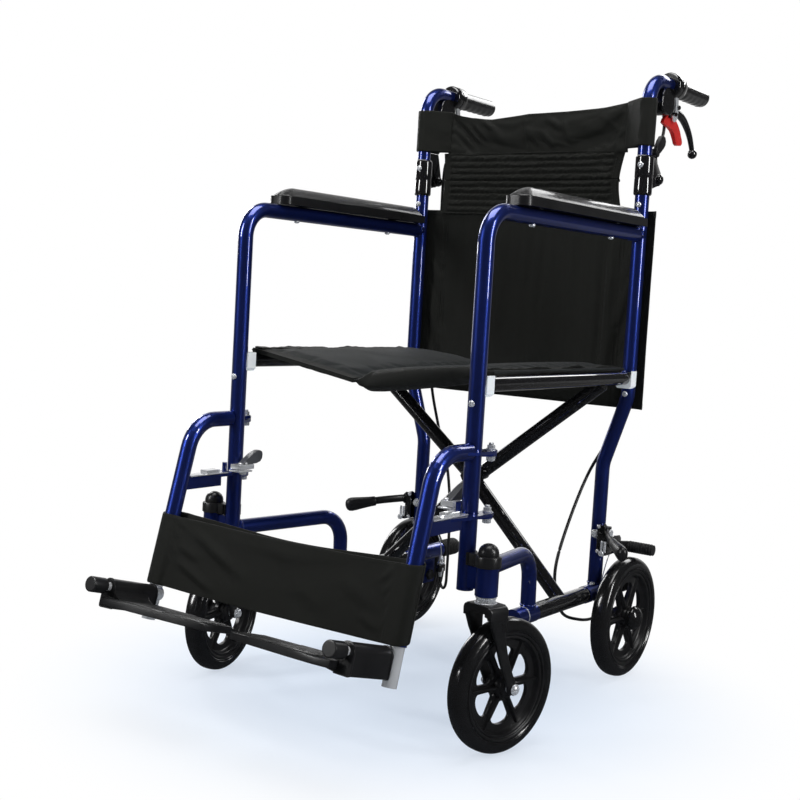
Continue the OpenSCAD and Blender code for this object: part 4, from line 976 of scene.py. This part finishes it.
    lever = bmesh.new()
    path = smooth_line([(up_x, *lever_pivot), (up_x, 540, 897), (up_x, 562, 890), (up_x, 580, 879),
        (up_x, 594, 866), (up_x, 604, 851), lever_ball], 30)
    swept(lever, path, [4.4 + 2.2 * min(1, k / 8) - 2.0 * max(0, k - 12) / 17 for k in range(30)], 20, 0.82)
    bmesh.ops.create_uvsphere(lever, u_segments=28, v_segments=18, radius=7.9,
        matrix=Matrix.Translation(lever_ball))
    part(side, "hand_lever", lever, enamel, "brake_lever", "brake_lever")
    eye = bmesh.new()
    turned(eye, [(-4.6, 0), (-4.6, 6.6), (-3.8, 7.2), (3.8, 7.2), (4.6, 6.6), (4.6, 0)],
        (up_x, *lever_pivot), (1, 0, 0), 28)
    swept(eye, path[:8], [4.9] * 5 + [5.2, 5.6, 6.0], 20, 0.86)
    part(side, "lever_eye", eye, chrome, "brake_lever")
    tab = bmesh.new()
    hook = [(-27, -16), (-24, -10), (-15, -2), (-6, 3), (4, 4), (12, -2), (19, -7), (27, -11), (33, -16),
        (38, -23), (45, -31), (48, -36), (47.4, -40), (44, -42.6), (31, -44), (25, -42), (20, -34),
        (15, -27), (8, -22), (-6, -19), (-18, -18)]
    bar(tab, hook, "x", up_x - 3.2, up_x + 3.2, 1.5, 4, tab_pivot)
    part(side, "red_tab", tab, red_nylon, "lock_tab", "lock_tab")

# Brake cables.
# Black plastic sheath over a wound steel cable, from the clamp under each grip down behind the side
# frame to the adjuster at the axle, with a black ferrule at the top and a plated one below. The left one
# loops wide, the right one hangs low.
sheath = plain_finish("cable_sheath", (80, 3.0), (0.008, 0.008, 0.008), (0.022, 0.022, 0.023), (0.28, 0.16),
    (1800, 1.0, 0.06, 0.0003), Specular_IOR_Level=0.45)
cable_r, cable_points = 2.5, 240
upper_route = [(197.6, 514, 884), (197.4, 510, 856), (196, 486, 820), (192, 475, 785), (190, 472, 740),
    (188, 472, 640), (188, 470, 520)]
left_route = [(188, 462, 440), (170, 456, 380), (150, 430, 320), (146, 385, 250), (146, 352, 185),
    (150, 350, 140), (153, 372, 105), (156, 420, 88), (157, 462, 82), (157, 483, 88), (157, 488, 100)]
right_route = [(186, 466, 440), (168, 470, 360), (147, 474, 290), (137, 475, 220), (135, 475, 150),
    (135, 475, 100), (135.6, 475.4, 86), (139.6, 477.7, 76.6), (146, 481.5, 73.4), (152.4, 485.3, 76.6),
    (156.4, 487.6, 86), (157, 488, 100)]
for side, route in (("left", left_route), ("right", right_route)):
    line = smooth_line(upper_route + route, cable_points)
    cable = bmesh.new()
    swept(cable, line, [cable_r] * cable_points, 12)
    cable_piece = piece(f"{side}_cable_sheath", cable, sheath, None, side)
    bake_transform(cable_piece)
    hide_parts(f"{side}_brake_cable")
    for name, body, finish, slot, near, ahead in (
            ("top", "back", enamel, "black_metal", line[0], line[0] - line[3]),
            ("low", "frame", zinc, "chrome", line[-1], line[-1] - line[-4])):
        ferrule = bmesh.new()
        turned(ferrule, [(-9, 0), (-9, 2.7), (-8.4, 3.3), (-1.4, 3.3), (-1.0, 2.9), (0.4, 2.9), (0.4, 0)],
            near, ahead, 20)
        part(side, f"{name}_ferrule", ferrule, finish, body)

# Armrest pads.
# Integral-skin polyurethane foam with a fine leather grain, moulded on a deep black base board that is
# screwed to the armrest tube from below. The board stands out a little all round as a ledge.
pad_skin, shader, place = new_finish("pad_skin", Specular_IOR_Level=0.25, Coat_Weight=0.5,
    Coat_Roughness=0.12)
pebbles = place.node("ShaderNodeTexVoronoi", {"feature": "DISTANCE_TO_EDGE"},
    {"Vector": place, "Scale": 520.0}, "Distance")
cloudy = grain(place, 22, 4.0)
between(place, cloudy, (0.004, 0.004, 0.0045, 1), (0.012, 0.012, 0.013, 1)).feed(shader, "Base Color")
(0.22 + cloudy * 0.14 + grain(place, 480, 2.0) * 0.08).feed(shader, "Roughness")
relief(place, pebbles * 3.0 + grain(place, 300, 3.0) * 0.8, 0.6, 0.0008).feed(shader, "Normal")

pad_start_y, pad_end_y, pad_low_z, pad_board, board_half = 62, 421, 708.4, 12.2, 20


def pad_plan(half, start, end, nose, tail):
    """Plan of the pad, counter-clockwise: round nose in front, square tail."""
    ring = []
    for x, y, r, turn in ((half - nose, start + nose, nose, -90), (half - tail, end - tail, tail, 0),
            (tail - half, end - tail, tail, 90), (nose - half, start + nose, nose, 180)):
        for k in range(12):
            a = math.radians(turn + 90 * k / 11)
            ring.append((x + r * math.cos(a), y + r * math.sin(a)))
    return ring


for side in SIDES:
    board = bmesh.new()
    outline = pad_plan(board_half, pad_start_y, pad_end_y, 15, 4)
    bar(board, outline, "z", pad_low_z, pad_low_z + pad_board, 1.5, 4, (up_x, 0))
    for y in (pad_start_y + 60, pad_end_y - 70):
        turned(board, [(0, 7.5), (1.2, 7.5), (1.2, 0)], (up_x, y, pad_low_z), (0, 0, -1), 24)
    part(side, "pad_board", board, moulded, "frame")

    foam = bmesh.new()
    sections = []
    for half, rise, _ in smooth_line([(17.2, 0, 0), (16.7, 1.5, 0), (15.2, 3.6, 0), (13.2, 6, 0),
            (11, 8.3, 0), (8.6, 10.4, 0), (6, 12.3, 0), (3.4, 13.7, 0), (0.5, 14.6, 0)], 22):
        inset = board_half - half
        plan = pad_plan(half, pad_start_y + 2.8 + 1.9 * (inset - 2.8), pad_end_y - 2.4 - 0.7 * (inset - 2.8),
            max(0.4, half * 0.75), max(0.3, min(6, half * 0.5)))
        z = pad_low_z + pad_board - 0.6 + rise
        sections.append([(up_x + u, v, z) for u, v in plan])
    loft(foam, sections)
    foam_piece = piece(f"{side}_pad_foam", foam, pad_skin, f"{side}_frame", side, 60)
    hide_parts(f"{side}_armrest_pad")

# Seat sling.
# Two padded halves of black nylon with an open honeycomb mesh on top, sewn together along a valley in
# the middle and hung between the seat rails. The left half ends in a padded roll at the front, the
# right half in a flat border. The edges lie doubled over the rails.
seat_mesh, shader, place = new_finish("seat_mesh", Specular_IOR_Level=0.14, Sheen_Weight=0.05,
    Sheen_Roughness=0.4)
split = place.node("ShaderNodeSeparateXYZ", {}, {0: place}, "X")
run_x = Finish(place.tree, split.socket.node.outputs["X"])
run_y = Finish(place.tree, split.socket.node.outputs["Y"])


def wave(value):
    return value.node("ShaderNodeMath", {"operation": "SINE"}, {0: value})


cell = 2400.0
cells = wave(run_x * cell) + wave(run_x * (-0.5 * cell) + run_y * (0.866 * cell)) + wave(
    run_x * (-0.5 * cell) - run_y * (0.866 * cell))
holes = place.node("ShaderNodeMapRange", {"interpolation_type": "SMOOTHSTEP"},
    {"Value": cells, "From Min": 0.2, "From Max": 1.6})
cloudy = grain(place, 20, 4.0)
between(place, holes, (0.013, 0.0155, 0.016, 1), (0.0035, 0.004, 0.004, 1)).feed(shader, "Base Color")
(0.50 + cloudy * 0.25).feed(shader, "Roughness")
relief(place, cells * -0.3 + grain(place, 60, 3.0) * 1.5, 0.35, 0.0008).feed(shader, "Normal")


def woven(name, pitch, first, second, dark, light, tilt):
    """Plain-weave nylon: two crossing sine threads, fading and slub from noise."""
    finish, shader, place = new_finish(name, Specular_IOR_Level=0.18, Sheen_Weight=0.05, Sheen_Roughness=0.45)
    parts = place.node("ShaderNodeSeparateXYZ", {}, {0: place}, "X").socket.node.outputs
    u, v = Finish(place.tree, parts[first]), Finish(place.tree, parts[second])
    count = 2 * math.pi / pitch
    threads = wave(u * count) * wave(v * count)
    slub = place.node("ShaderNodeTexNoise", {}, {"Vector": place.node("ShaderNodeMapping", {},
        {"Vector": place, "Scale": tilt}), "Scale": 240.0, "Detail": 2.0}, "Fac")
    fade = grain(place, 9, 4.0)
    between(place, fade * 0.55 + slub * 0.25 + threads * 0.1 + 0.1, dark, light).feed(shader, "Base Color")
    (0.52 + fade * 0.2).feed(shader, "Roughness")
    relief(place, threads + slub * 0.8, 0.28, 0.0004).feed(shader, "Normal")
    return finish


hem_cloth = woven("hem_cloth", 0.0009, "X", "Y", (0.004, 0.0044, 0.0036, 1), (0.012, 0.0128, 0.0108, 1),
    (1, 6, 1))


def slab_form(form, across_count, along_count, top, low):
    """Closed soft slab between two surfaces given over a grid of shares."""
    grids = [[[form.verts.new(surface(i / across_count, j / along_count)) for j in range(along_count + 1)]
        for i in range(across_count + 1)] for surface in (top, low)]
    quilt(form, grids[0])
    quilt(form, grids[1], True)
    rim = ([(i, 0) for i in range(across_count)] + [(across_count, j) for j in range(along_count)] + [(i,
        along_count) for i in range(across_count, 0, -1)] + [(0, j) for j in range(along_count, 0, -1)])
    for (a, b), (c, d) in zip(rim, rim[1:] + rim[:1]):
        form.faces.new((grids[0][a][b], grids[1][a][b], grids[1][c][d], grids[0][c][d]))


def settle(made, hold, frames, cap, pressure=0.0, gravity=0.0, slack=0.0, bend=0.3):
    """Lets a piece settle as cloth. hold pins a point in millimetres, cap is how far one may move."""
    start = [corner.co.copy() for corner in made.data.vertices]
    pins = made.vertex_groups.new(name="pins")
    for k, co in enumerate(start):
        weight = hold(co.x * 1000, co.y * 1000 + middle_y, co.z * 1000)
        if weight > 0:
            pins.add([k], min(1, weight), "REPLACE")
    cloth = made.modifiers.new("settle", "CLOTH")
    rules = cloth.settings
    rules.vertex_group_mass = "pins"
    rules.quality, rules.mass, rules.air_damping = 6, 0.12, 2.0
    rules.tension_stiffness = rules.compression_stiffness = 12
    rules.shear_stiffness, rules.bending_stiffness = 4, bend
    rules.shrink_min = -slack
    rules.effector_weights.gravity = gravity
    if pressure:
        rules.use_pressure, rules.uniform_pressure_force = True, pressure
    cloth.collision_settings.use_collision = False
    cloth.point_cache.frame_start, cloth.point_cache.frame_end = 1, frames
    for moment in range(1, frames + 1):
        scene.frame_set(moment)
    settled = made.evaluated_get(bpy.context.evaluated_depsgraph_get()).data
    moved = [corner.co.copy() for corner in settled.vertices]
    made.modifiers.remove(cloth)
    made.vertex_groups.remove(pins)
    for corner, old, new in zip(made.data.vertices, start, moved):
        shift = new - old
        corner.co = old + shift * min(1, cap / 1000 / max(shift.length, 1e-9))
    scene.frame_set(1)


def fine(made):
    """Subdivides a settled piece for good."""
    smooth = made.modifiers.new("smooth", "SUBSURF")
    smooth.levels = smooth.render_levels = 1
    ready = bpy.data.meshes.new_from_object(made.evaluated_get(bpy.context.evaluated_depsgraph_get()))
    made.modifiers.clear()
    made.data = ready


seat_front_y, seat_rear_y, rail_top = 29, 406, 489
valley_x, seat_half, hem_start = -14, 212, 192


def seat_valley(y):
    """Height and place of the sewn valley."""
    front = math.exp(-((y - seat_front_y) / 150) ** 2)
    return valley_x * front, 472 - 11.5 * front


def right_half(top):
    def at(u, v):
        y = seat_front_y + (seat_rear_y - seat_front_y) * v
        mid_x, mid_z = seat_valley(y)
        x = -seat_half + (seat_half + mid_x) * u
        base = rail_top + 1.6 + (mid_z - rail_top - 1.6) * u ** 1.05
        puff = 5.0 * math.sin(math.pi * u) ** 0.7 * min(1, (y - seat_front_y) / 26) ** 0.6 * min(1,
            (seat_rear_y - y) / 14)
        return (x, y, base + (2.4 + puff if top else -1.4 - 0.5 * puff))
    return at


def left_half(top):
    def at(u, v):
        y = seat_front_y + (seat_rear_y - seat_front_y) * v
        mid_x, mid_z = seat_valley(y)
        x = mid_x + (seat_half - mid_x) * u
        base = mid_z + (rail_top + 1.6 - mid_z) * u ** 0.9
        front = math.exp(-((y - seat_front_y - 14) / 20) ** 2) * min(1, u * 12) * (1 - 0.75 * u)
        puff = 5.0 * math.sin(math.pi * u) ** 0.55 * min(1, (y - seat_front_y) / 5 + 0.2) ** 0.5 * min(1,
            (seat_rear_y - y) / 14)
        return (x, y, base + (2.4 + puff + 3.5 * front if top else -1.4 - 0.5 * puff - 12.5 * front))
    return at


def seat_hold(x, y, z):
    mid_x = seat_valley(y)[0]
    pinned = abs(x) > 196 or abs(x - mid_x) < 4 or y > seat_rear_y - 8
    hem = x < mid_x and y < seat_front_y + 9
    return 1.0 if pinned or hem else 0.04


for name, half in (("right", right_half), ("left", left_half)):
    form = bmesh.new()
    slab_form(form, 54, 92, half(True), half(False))
    cushion = piece(f"seat_{name}_half", form, seat_mesh, None, "left", 70)
    settle(cushion, seat_hold, 16, 5, pressure=3.0, slack=0.015)
    fine(cushion)
    cushion.data.materials.append(hem_cloth)
    for face in cushion.data.polygons:
        near = face.center.y * 1000 + middle_y < seat_front_y + 22
        face.material_index = 1 if face.normal.z < 0.1 or (near and face.normal.y < -0.45) else 0
    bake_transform(cushion)
    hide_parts("seat_sling")

for name, hand, seed in (("right", -1, 3.1), ("left", 1, 7.7)):
    form = bmesh.new()
    for layer, (lift, reach) in enumerate(((1.0, 209), (4.6, 206.5))):
        def hem_at(u, v, raise_by):
            y = seat_front_y + 3 + (seat_rear_y - seat_front_y - 6) * v
            ripple = noise.noise((y * 0.021, seed, layer)) * 3.2 + noise.noise((y * 0.07, seed,
                layer + 5)) * 1.4
            drop = max(0, u - 0.55) ** 2 * (8 - 12 * layer)
            return (hand * (hem_start + (reach - hem_start + ripple * 0.4) * u), y,
                rail_top + lift + ripple * u ** 1.5 - drop + raise_by)
        slab_form(form, 10, 90, lambda u, v: hem_at(u, v, 1.3), lambda u, v: hem_at(u, v, -1.0))
    hem = piece(f"seat_{name}_hem", form, hem_cloth, None, "left", 70)
    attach(hem, "brace_a" if hand < 0 else "brace_b")

border = bmesh.new()


def border_at(u, v, raise_by):
    inner = right_half(True)(0.02 + 0.96 * u, 0.0)
    depth = 13 * v
    back = right_half(True)(0.02 + 0.96 * u, depth / (seat_rear_y - seat_front_y))
    return (inner[0], seat_front_y - 0.6 + depth, (inner[2] + (back[2] - inner[2]) * v) + raise_by)


slab_form(border, 60, 6, lambda u, v: border_at(u, v, 1.5), lambda u, v: border_at(u, v, -4.8))
border_piece = piece("seat_front_border", border, hem_cloth, None, "left", 70)
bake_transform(border_piece)

# Back upholstery.
# Black plain-weave nylon. A band with a sleeve over each push-handle post hangs a little slack, below
# it is a panel of nine stuffed channels, and a wide panel is laced behind the uprights down to below
# the seat.
back_cloth = woven("back_cloth", 0.0008, "X", "Z", (0.0036, 0.0040, 0.0030, 1), (0.0105, 0.0115, 0.0088, 1),
    (1, 1, 7))
thread = plain_finish("sewing_thread", (900, 2.0), (0.006, 0.006, 0.005), (0.022, 0.023, 0.020), (0.45, 0),
    (2500, 1.0, 0.1, 0.0002), fine=(300, 2.0, 0.2), Specular_IOR_Level=0.3)


def back_curve(x):
    return 449 + 16 * (1 - min(1, (x / 206) ** 2))


def sheet_form(form, across_count, along_count, at):
    grid = [[form.verts.new(at(i / across_count, j / along_count)) for j in range(along_count + 1)]
        for i in range(across_count + 1)]
    quilt(form, grid)


def thicken(made, thick):
    """Gives a settled sheet its thickness, the same to both sides."""
    layer = made.modifiers.new("layer", "SOLIDIFY")
    layer.thickness, layer.offset = thick / 1000, 0


def sewn_edge(form, made, across_count, along_count, rows, thick):
    """Doubled hem over some rows of a settled sheet, drawn in millimetres."""
    grid = [[made.data.vertices[i * (along_count + 1) + j].co * 1000 + Vector((0, middle_y, 0)) for j in rows]
        for i in range(across_count + 1)]

    def face(sign):
        def at(u, v):
            point = grid[round(u * across_count)][round(v * (len(rows) - 1))]
            swell = thick * (0.55 + 0.45 * math.sin(math.pi * min(1, max(0, v))))
            return (point.x, point.y + sign * swell, point.z)
        return at
    slab_form(form, across_count, len(rows) - 1, face(-1), face(1))


def stitches(form, points, size=0.55, pitch=4.2):
    """Row of short thread stitches along a line."""
    length = sum((Vector(q) - Vector(p)).length for p, q in zip(points, points[1:]))
    line = smooth_line(points, max(8, int(length / pitch)))
    for near, far in zip(line, line[1:]):
        ahead = far - near
        turned(form, [(along * ahead.length, r) for along, r in ((0.14, 0), (0.2, size * 0.8), (0.43, size),
            (0.66, size * 0.8), (0.72, 0))], near, ahead, 6)


def hemmed_sheet(name, hem_name, counts, at, hold, frames, cap, hem_rows, thick, **rules):
    """Sheet that settles as cloth, with a doubled hem over the given rows of its grid."""
    form = bmesh.new()
    sheet_form(form, *counts, at)
    made = piece(name, form, back_cloth, None, "left", 180)
    settle(made, hold, frames, cap, **rules)
    hems = bmesh.new()
    for rows, hem_thick in hem_rows:
        sewn_edge(hems, made, *counts, rows, hem_thick)
    thicken(made, thick)
    fine(made)
    return made, piece(hem_name, hems, back_cloth, None, "left", 60)


def hang(pieces, body):
    """Pieces that ride a body, each with a mesh of its own."""
    for made in pieces:
        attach(made, body)
        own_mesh(made)


def crease(x, z, folds):
    """Depth of a set of soft folds at a point of a panel."""
    depth = 0
    for x0, z0, x1, z1, height, width in folds:
        dx, dz = x1 - x0, z1 - z0
        t = ((x - x0) * dx + (z - z0) * dz) / (dx * dx + dz * dz)
        off = ((x - x0) * dz - (z - z0) * dx) / math.hypot(dx, dz)
        run_out = math.exp(-((t - 0.5) / 0.42) ** 4)
        depth += height * math.exp(-(off / width) ** 2) * run_out
        depth -= 0.5 * height * math.exp(-((off - 1.9 * width) / width) ** 2) * run_out
    return depth


def pucker(x, z, line, seed, reach=9):
    """Small gathers beside a sewn line that runs up the cloth at x = line."""
    return noise.noise((seed, z * 0.11, 0)) * math.exp(-((x - line) / reach) ** 2)


band_low, sleeve_low, seam_x = 825, 831, 168
band_line = ((-168, 898), (-125, 890.5), (-89, 888.5), (-55, 892), (-19, 895.5), (50, 896.5), (110, 898.5),
    (168, 902))
band_folds = [(-140, 888, -103, 842, 3.4, 4), (-124, 885, -92, 850, 2.8, 3.4),
    (-152, 870, -118, 838, 2.6, 4), (-104, 886, -84, 872, 2.6, 4), (-90, 879, -60, 846, 1.6, 6),
    (14, 890, 52, 866, 2.6, 5), (8, 868, 34, 838, 2.8, 4.4), (-14, 868, 6, 838, 2.2, 4.4),
    (46, 888, 64, 842, 2.4, 5), (80, 881, 112, 850, 1.3, 8), (-24, 890, -16, 830, 1.6, 2.4),
    (120, 886, 150, 860, 1.6, 6)]


def band_at(u, v):
    x = -seam_x + 2 * seam_x * u
    top = float(np.interp(x, *zip(*band_line)))
    z = band_low + (top - band_low) * v
    gather = 1.3 * pucker(x, z, -seam_x + 6, 3.3) + 1.6 * pucker(x, z, -18, 7.1, 12)
    return (x, back_curve(x) - 2.6 - crease(x, z, band_folds) + 1.2 * noise.noise((x * 0.02, z * 0.05,
        2.0)) + gather, z)


band, band_hem = hemmed_sheet("back_band", "back_band_hem", (112, 24), band_at,
    lambda x, y, z: 1.0 if abs(x) > seam_x - 3 or z < band_low + 2 else 0.02, 14, 3,
    (([22, 23, 24], 1.9), ([0, 1], 1.6)), 3.0, gravity=0.2, slack=0.02, bend=0.15)
hang((band, band_hem), "left_back")

for side in SIDES:
    form = bmesh.new()
    reach = 12.8
    inner = Vector((seam_x - 5, back_curve(seam_x) - 3))
    centre = Vector((up_x, post_y))
    away = centre - inner
    lean = math.asin(reach / away.length)
    base = math.atan2(away.y, away.x)
    loop = []
    for k in range(25):
        a = base - math.pi / 2 - lean + (math.pi + 2 * lean) * k / 24
        loop.append(centre + Vector((math.cos(a), math.sin(a))) * reach)
    front_run = [inner + (loop[0] - inner) * (k / 12) for k in range(12)]
    rear_run = [loop[-1] + (inner + Vector((0, 4.6)) - loop[-1]) * (k / 12) for k in range(1, 13)]
    plan = [(p.x, p.y) for p in front_run + loop + rear_run]
    count = len(plan) - 1
    tall = 903 if side == "left" else 899.5

    def sleeve_at(u, v):
        k = min(count, round(u * count))
        x, y = plan[k]
        z = sleeve_low + (tall - sleeve_low) * v
        ripple = 0.9 * noise.noise((x * 0.06 + (0 if side == "left" else 9), z * 0.05, y * 0.04))
        gather = 1.0 * noise.noise((z * 0.13, k * 0.4, 2.0)) * math.exp(-((k - 1) / 3) ** 2)
        return (x, y - ripple - gather if k < 14 else y + ripple,
            z + 0.8 * noise.noise((x * 0.05, y * 0.05, v)))
    sheet_form(form, count, 24, sleeve_at)
    sleeve = piece(f"{side}_post_sleeve", form, back_cloth, None, side, 180)
    hems = bmesh.new()
    thicken(sleeve, 2.0)
    fine(sleeve)
    for off in (1.5, 7.5):
        stitches(hems, [(seam_x - 4 + off, back_curve(seam_x) - 4.1 - off * 0.75, z) for z in range(833, 898,
            6)], 0.5)
    sleeve_seam = piece(f"{side}_sleeve_seam", hems, thread, None, side)
    for made in (sleeve, sleeve_seam):
        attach(made, f"{side}_back")

channel_low, channel_top, channel_count, split_row = 731, 827, 9, 5
channel_h = (channel_top - channel_low) / channel_count
split_z = channel_low + split_row * channel_h


def channel_edge(z, hand):
    """Where the panel ends to the left (hand 1) or right (hand -1): it is narrower at half height."""
    waist = math.sin(math.pi * (z - channel_low) / (channel_top - channel_low))
    return 163 - 8 * waist if hand > 0 else 177 - 3 * waist


def channel_face(first, last, front):
    def at(u, v):
        z = channel_low + channel_h * (first + (last - first) * v)
        x = -channel_edge(z, -1) + (channel_edge(z, 1) + channel_edge(z, -1)) * u
        phase = (z - channel_low) / channel_h % 1
        puff = math.sin(math.pi * phase) ** 0.6 if 0.001 < phase < 0.999 else 0
        ends = min(1, max(0, min(channel_edge(z, 1) - 13 - x, x + channel_edge(z, -1) - 10) / 6))
        row = round((z - channel_low) / channel_h)
        gather = noise.noise((x * 0.20, row * 3.7, 0)) * (1 - puff) * 1.3 * ends
        wander = noise.noise((x * 0.025, z * 0.03, 8.0)) * 1.2
        tucked = 3.4 if first > split_row - 1 and z < split_z - 0.1 else 0
        y = back_curve(x) + wander + tucked
        return (x, y - 1.6 - ends * (3.7 * puff) + gather if front else y + 1.4 + ends * 1.5 * puff, z)
    return at


def channel_hold(x, y, z):
    phase = (z - channel_low) / channel_h % 1
    return 1.0 if phase < 0.1 or phase > 0.9 or x > 142 or x < -160 else 0.05


for name, first, last, body in (("lower", -0.3, split_row, "left_frame"),
        ("upper", split_row - 0.4, channel_count + 0.3, "left_back")):
    form = bmesh.new()
    slab_form(form, 120, 42, channel_face(first, last, True), channel_face(first, last, False))
    channels = piece(f"back_{name}_channels", form, back_cloth, None, "left", 180)
    settle(channels, channel_hold, 12, 2.0, pressure=2.5, slack=0.03, bend=0.05)
    fine(channels)
    seams = bmesh.new()
    for row in range(math.ceil(first), math.floor(last) + 1):
        z = channel_low + row * channel_h
        stitches(seams, [(x, back_curve(x) - 2.0, z) for x in range(-164, 148, 8)], 0.42, 3.6)
    for hand in (-1, 1):
        for inset in (4, 11):
            zs = [channel_low + channel_h * (max(0, first) + (min(channel_count, last) - max(0,
                first)) * k / 8) for k in range(9)]
            stitches(seams, [(hand * (channel_edge(z, hand) - inset), back_curve(160) - 2.2, z) for z in zs],
                0.45)
    seam_piece = piece(f"back_{name}_channel_seams", seams, thread, None)
    hang((channels, seam_piece), body)
    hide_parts("back_lower" if body == "left_frame" else "back_upper")

panel_x, panel_low, panel_top = 226, 428, 734
panel_folds = [(150, 715, 150, 440, 6.0, 8), (-60, 720, -50, 520, 2.0, 11), (20, 722, 2, 590, 1.8, 8),
    (44, 700, 20, 560, 1.4, 7), (70, 720, 84, 520, 1.8, 11), (-120, 722, -110, 580, 1.3, 12),
    (-20, 640, -6, 450, 1.4, 12), (110, 690, 104, 460, 1.4, 12)]


def panel_at(u, v):
    x = (2 * u - 1) * panel_x
    z = panel_low + (panel_top - panel_low) * v
    edge = max(0, (abs(x) - 214) / 12)
    tuck = 1.8 * math.exp(-((abs(x) - seam_x) / 3.2) ** 2)
    gather = 1.3 * pucker(x, z, -seam_x, 1.7, 8) + 1.1 * pucker(x, z, seam_x, 5.2, 8)
    y = back_curve(x) - 5.5 * edge ** 1.5 + tuck + gather + 1.2 * noise.noise((x * 0.02, z * 0.012, 5.0))
    held = min(1, max(0, (204 - abs(x)) / 30))
    return (x, y - held * crease(x, z, panel_folds) + 2.2, z)


panel, panel_hems = hemmed_sheet("back_panel", "back_panel_hems", (132, 80), panel_at,
    lambda x, y, z: 1.0 if abs(x) > 192 or z > panel_top - 8 else 0.02, 14, 3,
    (([0, 1, 2, 3], 1.7), ([77, 78, 79, 80], 1.6)), 2.4, gravity=0.3, slack=0.004, bend=0.8)
seams = bmesh.new()
for hand in (-1, 1):
    for off in (-3.6, 3.6):
        stitches(seams, [(hand * (seam_x + off), back_curve(seam_x + off) + 0.9,
            panel_low + 3.8 * j) for j in range(2, 79, 4)], 0.55)
panel_seams = piece("back_panel_seams", seams, thread, None)
hang((panel, panel_hems, panel_seams), "left_frame")

# Calf strap.
# A wide loop of the same nylon round both footrest hangers, hemmed along both edges, a little slack in
# front. It stays on the left hanger when the right one swings away.
strap_low, strap_top, strap_r = 169, 263, 13.2
strap_folds = [(-150, 250, -66, 216, 2.8, 6), (-168, 206, -92, 180, 3.2, 5), (-120, 234, -36, 204, 1.8, 8),
    (-174, 228, -128, 214, 2.0, 5), (-20, 256, 40, 240, 1.0, 9), (40, 214, 100, 190, 1.2, 9),
    (110, 236, 176, 206, 1.6, 9), (150, 196, 186, 182, 1.8, 5)]
strap_reach = hanger_x + math.pi * strap_r / 2


def strap_at(rear):
    def at(u, v):
        z = strap_low + (strap_top - strap_low) * v
        run = (2 * u - 1) * strap_reach
        hand = 1 if run > 0 else -1
        out = abs(run)
        off = -strap_r
        x = out
        if out < hanger_x:
            slack = math.cos(math.pi / 2 * out / hanger_x) ** 0.5
            belly = 3.0 * slack * noise.noise((run * 0.011, z * 0.02, 3.0 if rear else 1.0))
            folds = crease(run, z, strap_folds) * min(1, (hanger_x - out) / 25)
            off += belly if rear else -belly - folds
        else:
            a = (out - hanger_x) / strap_r
            x, off = hanger_x + strap_r * math.sin(a), -strap_r * math.cos(a)
        sag = (8.0 if rear else 1.4) * math.cos(math.pi / 2 * min(1, out / hanger_x)) ** 2
        return (hand * x, hanger_y(z) + (-off if rear else off), z - sag)
    return at


for layer, rear in (("front", False), ("rear", True)):
    strap, hem_piece = hemmed_sheet(f"calf_strap_{layer}", f"calf_strap_{layer}_hems", (140, 26),
        strap_at(rear), lambda x, y, z: 1.0 if abs(x) > 190 else 0.03, 12, 3,
        (([0, 1, 2], 1.4), ([24, 25, 26], 1.4)), 2.2, gravity=0.3, slack=0.012, bend=0.3)
    hang((strap, hem_piece), "left_footrest")
    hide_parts("calf_strap")
